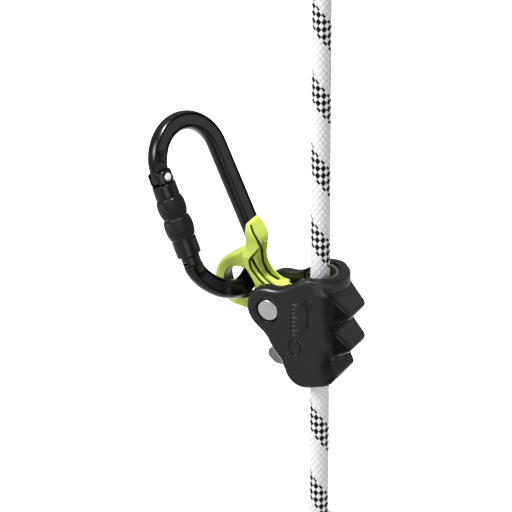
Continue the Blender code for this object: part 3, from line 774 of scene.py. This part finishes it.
def housing_shading(x, y, z):
    """Painted shade on the knuckles' flanks, between them and beside the cheeks; glossy on worn
    edges.
    """
    plan = polygon_field(x, y, RIDGE_PLAN)
    flank = (1 - fade(np.abs(plan), 0.9, 2.2)) * fade(-polygon_field(x, z, RIDGES), 0.4, 2.0)
    flank = VALLEY_SHADE * flank * fade(x, 12.5, 15)
    edge = polygon_field(x, z, CHEEK_EDGE)
    roll = ROLL_SHADE * fade(edge, -4.6, -0.6) * fade(np.abs(y), 10.5, 12)
    share = np.maximum(flank, roll * (z < 17))
    for place in VALLEYS:
        away = np.hypot(x - place[0], z - place[1])
        share = np.maximum(share, VALLEY_SHADE * (1 - fade(away, 1.2, 3.4)))
    side = polygon_field(x, z, HOUSING_OUTLINE)
    face = slab(y, 0, HALF_WIDTH)
    bevel = fade(side, -1.4, -0.9) * fade(face, -1.4, -0.9) * (1 - fade(x, -2, 3))
    worn = np.maximum(EDGE_SHINE * bevel, RIDGE_SHINE * fade(x, 13.5, 16))
    worn = np.maximum(worn, COLLAR_SHINE * fade(z, 16.5, 18.5) * fade(x, 2, 6))
    return np.where(share < 0.05, -worn, share)


def finish_piece(obj, node, body, matrix=None):
    """Puts the piece in place, in its CAD node's stead, on its body."""
    if matrix:
        obj.data.transform(matrix)
    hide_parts(node)
    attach(obj, body)
    return obj


def make_housing():
    shell = solid("housing_shell", housing_field, (-40, -16, -45), (28, 16, 27), 0.44,
                  HOUSING_BLACK)
    store_shade(shell, housing_shading(*vertex_places(shell)))
    # Painted shade: where the shade attribute is 1 the housing turns near black and loses its gloss
    shade_by_place(HOUSING_BLACK, (0.002, 0.002, 0.002), 0.3)
    finish_piece(shell, "housing", "housing")


LINER_SIDE = rounded([
    (-13.7, 15.4, 1), (-1.2, 24.2, 10), (14, 24.2, 0), (14, -38.4, 0), (-8.8, -38.4, 5),
    (-13.6, -34.6, 1), (-22.6, -34.6, 5), (-27.2, -30.4, 3), (-26.6, -25.0, 3), (-13.7, -25.2, 1),
])


RIM_FADE = (23.4, 24.0)  # heights across which the painted shade inside the channel gives way to the steel's lighter rim
LUG_FADE = (-13.2, -14.0)  # and the same along X, for the lugs


def liner_material():
    """Steel with painted shade inside the channel; its top rim and the lugs keep the steel's
    lighter tone.
    """
    made, tree, shader = nodes_of("channel_steel")
    coords = tree.nodes.new("ShaderNodeTexCoord")
    split = tree.nodes.new("ShaderNodeSeparateXYZ")
    tree.links.new(coords.outputs["Object"], split.inputs["Vector"])
    rim = tree.nodes.new("ShaderNodeMapRange")
    set_inputs(rim, From_Min=RIM_FADE[0] * MM, From_Max=RIM_FADE[1] * MM)
    tree.links.new(split.outputs["Z"], rim.inputs["Value"])
    lug = tree.nodes.new("ShaderNodeMapRange")
    set_inputs(lug, From_Min=LUG_FADE[0] * MM, From_Max=LUG_FADE[1] * MM)
    tree.links.new(split.outputs["X"], lug.inputs["Value"])
    unshaded = tree.nodes.new("ShaderNodeMath")
    unshaded.operation = "MAXIMUM"
    tree.links.new(rim.outputs["Result"], unshaded.inputs[0])
    tree.links.new(lug.outputs["Result"], unshaded.inputs[1])
    # Painted shade: the steel is near black except on its rim and its lugs
    tint(tree, shader, unshaded.outputs["Value"], (0.03, 0.03, 0.031), (0.17, 0.17, 0.174))
    fine = noise(tree, 2500, 2.0)
    tree.links.new(spread(tree, fine.outputs["Fac"], 0.34, 0.5), shader.inputs["Roughness"])
    bump(tree, shader, fine.outputs["Fac"], 0.2, 0.05 * MM)
    shader.inputs["Metallic"].default_value = 0.7
    return made


LINER_RADIUS, LINER_HALF_THICK = 9.6, 1.0


def liner_field(x, y, z):
    wall = slab(np.where(x > 0, np.hypot(x, y), np.abs(y)), LINER_RADIUS, LINER_HALF_THICK)
    return smooth_max(wall + 0 * z, polygon_field(x, z, LINER_SIDE), 0.7)


def make_liner():
    liner = solid("liner", liner_field, (-29, -12, -40), (12, 12, 26), 0.36, liner_material())
    finish_piece(liner, "channel_liner", "housing")


# ---- turned pieces

SHARP_ANGLE = 50


def lathe(name, profile, material, segments=96, relief=None):
    """A body turned about Z from a closed line of (radius, height) points, in millimetres."""
    profile = np.array(profile, float)
    count = len(profile)
    angle = np.arange(segments) / segments * 2 * math.pi
    radius = np.repeat(profile[:, :1], segments, 1)
    height = np.repeat(profile[:, 1:], segments, 1)
    if relief:
        radius = radius + relief(np.repeat(angle[None], count, 0), height, radius)
    vertices = np.stack([radius * np.cos(angle), radius * np.sin(angle), height], -1)
    vertices = vertices.reshape(-1, 3)
    i, j = np.meshgrid(np.arange(count), np.arange(segments), indexing="ij")
    k, n = (j + 1) % segments, (i + 1) % count
    faces = np.stack([i * segments + j, n * segments + j, n * segments + k, i * segments + k], -1)
    mesh = mesh_of(name, vertices * MM, faces.reshape(-1, 4))
    cage = bmesh.new()
    cage.from_mesh(mesh)
    bmesh.ops.remove_doubles(cage, verts=cage.verts, dist=0.0005 * MM)
    bmesh.ops.recalc_face_normals(cage, faces=cage.faces)
    cage.to_mesh(mesh)
    cage.free()
    mesh.shade_smooth()
    mesh.set_sharp_from_angle(angle=math.radians(SHARP_ANGLE))
    return placed(name, mesh, material)


def soften(profile, radius):
    """The closed profile with its corners off the axis rounded."""
    return rounded([(r, z, radius if r > 0.01 else 0) for r, z in profile], 30)


AT_PIN = Matrix.Translation(Vector((PIN[0], 0, PIN[1])) * MM) @ Matrix.Rotation(
    math.pi / 2, 4, "X"
)


PIN_FACE = 14.8
HEAD_RADIUS, HEAD_UNDER = 6.15, 12.6
SHAFT_RADIUS, END_RADIUS, SHAFT_END = 4.0, 2.5, -12.0


def make_pivot():
    profile = [(0.0, PIN_FACE - 0.05), (HEAD_RADIUS - 0.45, PIN_FACE),
               (HEAD_RADIUS, PIN_FACE - 0.5), (HEAD_RADIUS, HEAD_UNDER),
               (SHAFT_RADIUS, HEAD_UNDER), (SHAFT_RADIUS, SHAFT_END), (END_RADIUS, SHAFT_END),
               (END_RADIUS, -PIN_FACE), (0.0, -PIN_FACE)]
    pin = lathe("pivot_pin_turned", soften(profile, 0.2), STAINLESS)
    finish_piece(pin, "pivot_pin", "housing", AT_PIN)
    bore = END_RADIUS + 0.3
    profile = [(bore, -PIN_FACE), (HEAD_RADIUS - 0.35, -PIN_FACE), (HEAD_RADIUS, 0.4 - PIN_FACE),
               (HEAD_RADIUS, SHAFT_END - 0.3), (bore, SHAFT_END - 0.3)]
    washer = lathe("pin_washer_turned", soften(profile, 0.15), STAINLESS)
    finish_piece(washer, "pin_washer", "housing", AT_PIN)


# ---- cam arm

EYE = (-47.7, 7.7)
EYE_RIM, EYE_BORE, BUSHING_BORE = 16, 9.25, 5.8
PLATE_HALF = 5.0
CAM_START, CAM_END = 24, -38
CAM_RADIUS = 18.4
CAM_GROWTH = 0.1


def cam_points():
    count = 20
    points = []
    for i in range(count + 1):
        degrees = CAM_START + (CAM_END - CAM_START) * i / count
        radius = CAM_RADIUS - CAM_GROWTH * degrees
        angle = math.radians(degrees)
        points.append((PIN[0] + radius * math.cos(angle), radius * math.sin(angle), 0))
    return points


ARM_OUTLINE = rounded(
    [(x, z, 0) for x, z in arc(EYE, EYE_RIM, 268, 124)]
    + [(-43.4, 31.0, 3), (-43.2, 40, 0), (-38.5, 40, 2), (-37.5, 30, 5), (-33.8, 18.2, 10),
       (-22.5, 11.2, 8)]
    + cam_points()
    + [(-11.0, -15.2, 1.5), (-25.0, -11.0, 12)]
)
HORN_SIDE = rounded([
    (-43.2, 30.0, 3), (-43.4, 45.9, 1.2), (-41.0, 46.0, 1.2), (-37.3, 40.0, 5), (-35.3, 36.5, 4),
    (-34.9, 33.4, 3), (-36.0, 28.6, 6), (-37.1, 24.0, 4), (-36.3, 20.0, 6), (-33.0, 14.4, 8),
    (-29.6, 11.4, 6), (-26.2, 9.9, 4), (-22.0, 9.7, 0.4), (-22.5, 8.8, 0), (-30.5, 7.5, 0),
    (-36.4, 8.6, 2), (-39.0, 15.5, 6), (-42.0, 22.0, 5),
])
# Half width of the horn and saddle at each height
HORN_WIDTH = ((46.4, 5.2), (45.2, 6.2), (42.5, 7.1), (40, 7.3), (37.3, 7.0), (35, 6.3),
              (33, 6.1), (31.2, 6.6), (28.5, 7.6), (25.8, 8.3), (23, 8.2), (19, 7.9), (5, 7.9))
SCOOP_SIDE = rounded([
    (-30, 38, 0), (-35.2, 33.0, 1), (-38.2, 29.6, 3), (-39.6, 26.0, 4), (-39.0, 18.0, 5),
    (-36.6, 12.9, 6), (-33.6, 10.1, 5), (-29.2, 8.7, 5), (-22.0, 8.6, 0), (-14, 12, 0),
])
SCOOP_WIDTH = ((38, 0.15), (33.4, 0.15), (32.4, 2.6), (31.2, 4.6), (28.5, 5.7), (25.8, 6.3),
               (22, 6.1), (5, 5.9))


def mirrored(widths):
    return [(w, z) for z, w in widths] + [(-w, z) for z, w in reversed(widths)]


def line_field(x, y, z, points):
    """Distance from an open line through the points."""
    best = None
    for a, b in zip(points, points[1:]):
        a, b = np.array(a, float), np.array(b, float)
        e = b - a
        t = ((x - a[0]) * e[0] + (y - a[1]) * e[1] + (z - a[2]) * e[2]) / (e @ e)
        t = np.clip(t, 0, 1)
        far = (x - a[0] - e[0] * t) ** 2 + (y - a[1] - e[1] * t) ** 2 + (z - a[2] - e[2] * t) ** 2
        best = far if best is None else np.minimum(best, far)
    return np.sqrt(best)


# Grooves as (y, z) on the side of the horn that faces the rope, and one inside the pocket
SURFACE_GROOVES = (
    ((-5.2, 44.6), (-6.2, 41.8), (-6.3, 39.4), (-5.8, 36.8), (-5.2, 34.6), (-4.2, 33.0)),
    ((-0.4, 33.2), (-2.6, 33.0), (-4.6, 31.9), (-5.6, 30.6), (-6.6, 28.4), (-7.5, 26.0),
     (-8.0, 24.0), (-7.9, 21.4), (-7.8, 19.0), (-7.7, 16.6), (-7.7, 13.6), (-7.7, 10.8)),
    ((-6.6, 24.8), (-5.7, 22.0), (-5.4, 19.4), (-5.3, 16.8), (-5.25, 14.1), (-5.25, 10.8)),
)
POCKET_GROOVE = (
    (-36.4, 1.2, 31.6), (-38.0, 3.4, 29.2), (-39.6, 5.6, 25.6), (-39.6, 6.1, 22.5),
    (-38.9, 6.1, 17.4), (-36.6, 6.0, 12.9), (-33.6, 6.0, 10.1), (-29.2, 6.0, 8.7),
)
GROOVE_RADIUS = 0.6
# The saddle stands further back on its near side, where the pocket is also narrower
NEAR_LEAN = 2.2
NEAR_SCOOP = 0.74


def arm_body(x, y, z):
    """The arm with its pocket, before the grooves and bores."""
    plate = smooth_max(polygon_field(x, z, ARM_OUTLINE), slab(y, 0, PLATE_HALF), 2.6)
    front = polygon_field(y, z, mirrored(HORN_WIDTH))
    lean = NEAR_LEAN * (8 - y) / 16 * fade(z, 9, 20) * (1 - fade(z, 25, 33))
    horn = smooth_max(polygon_field(x + lean, z, HORN_SIDE), front, 1.3)
    arm = smooth_min(plate, horn, 3.0)
    y = np.where(y < 0, y / NEAR_SCOOP, y)
    scoop = smooth_max(polygon_field(x + 0.4 * lean, z, SCOOP_SIDE),
                       polygon_field(y, z, mirrored(SCOOP_WIDTH)), 0.8)
    return cut(arm, scoop, 0.6)


def on_surface(y, z):
    """The outermost point of the horn towards +X at this y and z."""
    x = np.arange(-26, -44, -0.05)
    inside = arm_body(x, np.full_like(x, y), np.full_like(x, z)) < 0
    return x[np.argmax(inside)] - 0.1, y, z


GROOVES = [[on_surface(*point) for point in line] for line in SURFACE_GROOVES]
GROOVES.append(POCKET_GROOVE)


def arm_field(x, y, z):
    arm = arm_body(x, y, z)
    for line in GROOVES:
        arm = cut(arm, line_field(x, y, z, line) - GROOVE_RADIUS, 0.25)
    hole = np.hypot(x - EYE[0], z - EYE[1])
    flare = np.clip((np.abs(y) - 3.8) / 1.2, 0, 1) ** 2 * 0.2
    arm = smooth_max(arm, EYE_BORE + flare - hole, 0.6)
    return np.maximum(arm, BUSHING_BORE - np.hypot(x - PIN[0], z - PIN[1]))


# How dark the painted shade gets in the eye's bore and on the plate's rim
BORE_SHADE, RIM_SHADE = 0.9, 0.32


def arm_shading(x, y, z):
    """Painted shade: 1 in the grooves, less in the eye's bore and on the plate's rim."""
    lines = [line_field(x, y, z, line) for line in GROOVES]
    share = 1 - fade(np.minimum.reduce(lines), 0.55, 1.05)
    bore = BORE_SHADE * (1 - fade(np.hypot(x - EYE[0], z - EYE[1]), 9.6, 10.2))
    rim = RIM_SHADE * fade(polygon_field(x, z, ARM_OUTLINE), -0.6, -0.2)
    rim = rim * (1 - fade(np.abs(y), 3.8, 4.6))
    return np.maximum(share, np.maximum(bore, rim * (x < EYE[0] + 4)))


def make_arm():
    arm = solid("cam_arm_forged", arm_field, (-66, -9, -19), (-2, 9, 52), 0.36, LIME)
    store_shade(arm, arm_shading(*vertex_places(arm)))
    # Painted shade: dark olive in the grooves, the bore and on the rim
    shade_by_place(LIME, (0.02, 0.028, 0.004), 0.5)
    finish_piece(arm, "cam_arm", "arm")


# ---- carabiner

LEAN = math.radians(25)
YAW = math.radians(14)
APEX = (-5.55, -0.45, -3.1)
LOWER_BEND, UPPER_BEND, BEND_SPACING = 24.5, 23.0, 52.5
NOSE_TOP, KEY_TOP, GATE_END = -51.9, -49.7, -51.55


def swing_frame():
    long_axis = Vector((-math.sin(LEAN), 0, math.cos(LEAN)))
    level = Vector((math.cos(LEAN), 0, math.sin(LEAN)))
    width = Vector((0, 1, 0)) * math.cos(YAW) + level * math.sin(YAW)
    depth = long_axis.cross(width)
    turn = Matrix((width, depth, long_axis)).transposed().to_4x4()
    return Matrix.Translation(Vector((EYE[0], 0, EYE[1])) * MM) @ turn


LOWER = Vector((APEX[0], APEX[2] + LOWER_BEND))
UPPER = LOWER + Vector((LOWER_BEND - UPPER_BEND, BEND_SPACING))
BETWEEN = UPPER - LOWER
TILT = math.atan2(BETWEEN.x, BETWEEN.y) + math.asin((LOWER_BEND - UPPER_BEND) / BETWEEN.length)
RIVET = UPPER + UPPER_BEND * Vector((-math.cos(TILT), math.sin(TILT)))
SWING = swing_frame()
GATE = SWING @ Matrix.Translation(Vector((RIVET.x, APEX[1], RIVET.y)) * MM) @ Matrix.Rotation(
    TILT, 4, "Y"
)
SIDE = 180 - math.degrees(TILT)
BASKET_POWER = 1.55
BAR_RADIUS, BAR_HALF_THICK = 5.5, 5.0
RECESS_HALF, RECESS_DEEP = 3.3, 3.4
EAR_RADIUS, TANG_RADIUS, TANG_HALF, RIVET_BORE = 8.3, 5.4, 2.4, 2.65


def flatten(point):
    """The point of the lower bend, moved inwards if it lies low on the gate side."""
    across = (point[0] - LOWER.x) / LOWER_BEND
    below = (LOWER.y - point[1]) / LOWER_BEND
    if across >= 0 or below <= 0:
        return point
    power = 2 / BASKET_POWER
    return LOWER.x - LOWER_BEND * (-across) ** power, LOWER.y - LOWER_BEND * below ** power


OVAL = [flatten(point) for point in arc(LOWER, LOWER_BEND, SIDE, 360, 4)]
OVAL += arc(UPPER, UPPER_BEND, 0, SIDE, 4)


def bar_field(x, y, z):
    """The forged oval, with a shallow recess down both faces of its spine and bends."""
    y = y - APEX[1]
    u = polygon_field(x, z, OVAL)
    bar = smooth_max(np.hypot(u, y) - BAR_RADIUS, np.abs(y) - BAR_HALF_THICK + 0 * u, 0.7)
    xg = (x - RIVET.x) * math.cos(TILT) - (z - RIVET.y) * math.sin(TILT)
    zg = (x - RIVET.x) * math.sin(TILT) + (z - RIVET.y) * math.cos(TILT)
    rivet = np.hypot(xg, zg)
    near_eye = 11.5 - np.hypot(x - APEX[0], z - APEX[2])
    near_nose = 5.5 - np.hypot(xg + 0.5, zg - NOSE_TOP)
    near_rivet = 12.5 - rivet
    recess = smooth_max(np.abs(u) - RECESS_HALF, RECESS_DEEP - np.abs(y), 0.6)
    for end in (near_eye, near_nose, near_rivet):
        recess = smooth_max(recess, end, 3.0)
    bar = cut(bar, recess, 0.3)
    bar = cut(bar, np.maximum(rivet - EAR_RADIUS, TANG_HALF + 0.1 - np.abs(y)), 0.5)
    gap = np.maximum(np.maximum(np.abs(xg) - 9, zg), np.maximum(NOSE_TOP - zg, TANG_RADIUS - rivet))
    bar = cut(bar, gap + 0 * y, 0.25)
    bar = smooth_min(bar, np.maximum(rivet - TANG_RADIUS, np.abs(y) - TANG_HALF), 0.4)
    key = np.maximum(np.maximum(np.abs(xg) - 2.6, np.abs(y) - 1.5), slab(zg, KEY_TOP - 2, 2.0))
    bar = smooth_min(bar, key, 0.3)
    return np.maximum(bar, RIVET_BORE - rivet)


def bar_shading(x, y, z):
    """Painted shade: 1 along the edges of the bar's recesses."""
    y = np.abs(y - APEX[1])
    u = polygon_field(x, z, OVAL)
    line = 1 - fade(np.abs(np.abs(u) - RECESS_HALF), 0.25, 0.75)
    rivet = np.hypot(x - RIVET.x, z - RIVET.y)
    eye = np.hypot(x - APEX[0], z - APEX[2])
    return line * fade(y, 2.8, 3.4) * fade(rivet, 11, 14) * fade(eye, 11, 16)


HINGE_RADIUS, TUBE_RADIUS, COLLAR_OUTER, COLLAR_TOP = 6.7, 4.7, 5.3, -46.6
GATE_SLOT_HALF, SPRING_BORE = 2.9, 2.9


def gate_field(x, y, z):
    """The gate's hinge, tube and notched collar, with the slots for tang and key."""
    around = np.hypot(x, y)
    hinge = smooth_max(around - HINGE_RADIUS, slab(z, 0.3, 3.5), 1.2)
    tube = np.maximum(around - TUBE_RADIUS, slab(z, -24.0, 27.0))
    ring = slab(z, (GATE_END + COLLAR_TOP) / 2, (COLLAR_TOP - GATE_END) / 2)
    collar = smooth_max(around - COLLAR_OUTER, ring, 0.3)
    gate = np.minimum(np.minimum(smooth_min(hinge, tube, 0.6), tube), collar)
    gate = cut(gate, np.maximum(np.abs(y) - GATE_SLOT_HALF, -6 - z), 0.5)
    gate = cut(gate, np.maximum(around - SPRING_BORE, slab(z, -17.5, 12.5)), 0.2)
    gate = np.maximum(gate, RIVET_BORE - np.hypot(x, z))
    key_slot = np.maximum(np.maximum(np.abs(y) - 1.85, x - 2.95), z - KEY_TOP - 0.3)
    gate = cut(gate, key_slot, 0.3)
    for k in range(6):
        turn = math.radians(30 + 60 * k)
        across = np.abs(x * math.sin(turn) - y * math.cos(turn))
        ahead = x * math.cos(turn) + y * math.sin(turn)
        nick = np.maximum(np.maximum(across - 0.45, 4.9 - ahead), z + 47.2)
        gate = cut(gate, nick, 0.2)
    return gate


SLEEVE_TOP, SLEEVE_END, SLEEVE_BORE = 3.6, 46.2, 5.8
SLEEVE_LINE = (
    (6.5, 3.6), (6.95, 4.0), (7.05, 11.2), (6.75, 11.5), (6.75, 11.9), (7.3, 12.3), (7.95, 15.2),
    (8.05, 17.5), (7.9, 20.0), (7.2, 22.6), (6.85, 23.2), (6.85, 23.7), (7.5, 24.2), (8.15, 27.5),
    (8.2, 30.0), (8.0, 32.5), (7.3, 35.2), (6.95, 35.8), (6.95, 36.3), (7.1, 36.8), (7.1, 45.7),
    (6.7, 46.2),
)
KNURL_BANDS = ((12.6, 22.4), (24.5, 35.0))
KNURL_COUNT = 28
KNURL_PITCH = 1.9
KNURL_DEPTH = 0.4


def knurl(angle, height, radius):
    """Crossed V grooves on the two bulges of the sleeve."""
    depth = -height
    turn = angle / (2 * math.pi) * KNURL_COUNT
    a = (turn + depth / KNURL_PITCH) % 1
    b = (turn - depth / KNURL_PITCH) % 1
    nearest = np.minimum(np.minimum(a, 1 - a), np.minimum(b, 1 - b))
    groove = -KNURL_DEPTH * np.clip(1 - nearest * 5, 0, 1)
    share = np.zeros_like(depth)
    for low, high in KNURL_BANDS:
        share = np.maximum(share, np.clip(np.minimum(depth - low, high - depth) / 0.5, 0, 1))
    return groove * share * (radius > SLEEVE_BORE + 0.5)


def make_carabiner():
    # Painted shade: near-black lines along the edges of the bar's recesses
    shade_by_place(BLACK_ANODISED, (0.001, 0.001, 0.001), 0.28)
    body = solid("carabiner_forged", bar_field, (-38, -8, -12), (28, 8, 104), 0.36, BLACK_ANODISED)
    store_shade(body, bar_shading(*vertex_places(body)))
    finish_piece(body, "carabiner_body", "carabiner", SWING)
    profile = [(0.0, 6.6), (1.6, 6.45), (2.35, 6.0), (2.35, -6.0), (1.6, -6.45), (0.0, -6.6)]
    # The rivet's lighter steel is painted light
    rivet = lathe("gate_rivet_turned", soften(profile, 0.3), RIVET_STEEL_PAINTED_LIGHT, 48)
    place = GATE @ Matrix.Rotation(math.pi / 2, 4, "X")
    finish_piece(rivet, "gate_rivet", "carabiner", place)
    gate = solid("gate_turned", gate_field, (-8, -8, -53), (8, 8, 5), 0.3, BLACK_ANODISED)
    finish_piece(gate, "gate", "gate", GATE)

    depths = np.arange(SLEEVE_TOP, SLEEVE_END + 0.01, 0.21)
    known = np.array(SLEEVE_LINE)
    outside = [(float(np.interp(d, known[:, 1], known[:, 0])), -float(d)) for d in depths]
    profile = [*outside, (SLEEVE_BORE + 0.3, -SLEEVE_END), (SLEEVE_BORE, -SLEEVE_END + 0.3),
               (SLEEVE_BORE, -SLEEVE_TOP - 0.3), (SLEEVE_BORE + 0.3, -SLEEVE_TOP)]
    sleeve = lathe("lock_sleeve_knurled", profile, BLACK_ANODISED, 272, knurl)
    finish_piece(sleeve, "lock_sleeve", "sleeve", GATE)


def dress_cad_nodes():
    """Small hidden pieces keep their CAD shape and get their finish."""
    finishes = {
        "front_spacer": BRONZE, "rear_spacer": BRONZE, "pivot_bushing": BRONZE,
        "cam_spring": SPRING_STEEL, "gate_spring": SPRING_STEEL, "sleeve_spring": SPRING_STEEL,
        "gate_plunger": STAINLESS, "guide_ring": STAINLESS,
    }
    for name, material in finishes.items():
        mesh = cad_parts[name].data
        mesh.materials.clear()
        mesh.materials.append(material)


make_housing()
make_liner()
make_pivot()
make_arm()
make_carabiner()
dress_cad_nodes()

# ---- backdrop and light

FLOOR_GAP = 2 * MM
FLOOR_SHADE = 0.8
BEAM_POWER = 3.0
BEAM_SIZE = (0.38, 0.80)
BEAM_SPREAD = 7
BEAM_PLACE = (-0.22, 0.35, 0.9)
LIGHT_AIM = Vector((-30, 0, 30)) * MM


def make_stage():
    cage = bmesh.new()
    bmesh.ops.create_grid(cage, size=3)
    mesh = bpy.data.meshes.new("floor")
    cage.to_mesh(mesh)
    cage.free()
    white, _, shader = nodes_of("floor_white")
    shader.inputs["Base Color"].default_value = (FLOOR_SHADE, FLOOR_SHADE, FLOOR_SHADE, 1)
    set_inputs(shader, Roughness=0.9, Specular_IOR_Level=0.2)
    floor = placed("floor", mesh, white)
    floor.location = (0, 0, cad_bounds[0].z - FLOOR_GAP)


def new_light(name, shape, size, power):
    data = bpy.data.lights.new(name, "AREA")
    data.shape = shape
    data.size = size
    data.energy = power
    return linked(name, data)


def add_light(name, azimuth, elevation, distance, size, power):
    """A soft square light aimed at the housing."""
    light = new_light(name, "SQUARE", size, power)
    aim_from(light, azimuth, elevation, distance, LIGHT_AIM)


def add_floor_light():
    """A narrow beam that whitens only the patch of floor behind the object."""
    light = new_light("backdrop", "RECTANGLE", BEAM_SIZE[0], BEAM_POWER)
    light.data.size_y = BEAM_SIZE[1]
    light.data.spread = math.radians(BEAM_SPREAD)
    light.location = BEAM_PLACE
    light.rotation_euler = (0, 0, math.radians(AZIMUTH))


make_stage()
world = bpy.data.worlds.new("studio")
bpy.context.scene.world = world
world.use_nodes = True
world.node_tree.nodes["Background"].inputs["Color"].default_value = (1, 1, 1, 1)
world.node_tree.nodes["Background"].inputs["Strength"].default_value = 0.3
bpy.context.scene.view_settings.view_transform = "Standard"
add_light("key", -34, 38, 1.4, 0.45, 15)
add_light("front", 34, 10, 1.5, 0.9, 5.5)
add_light("side", 115, 10, 1.5, 0.6, 1.2)
add_light("back", 152, 30, 1.5, 0.9, 1.0)
add_light("edge", -40, 49, 1.2, 0.3, 1.8)
add_floor_light()
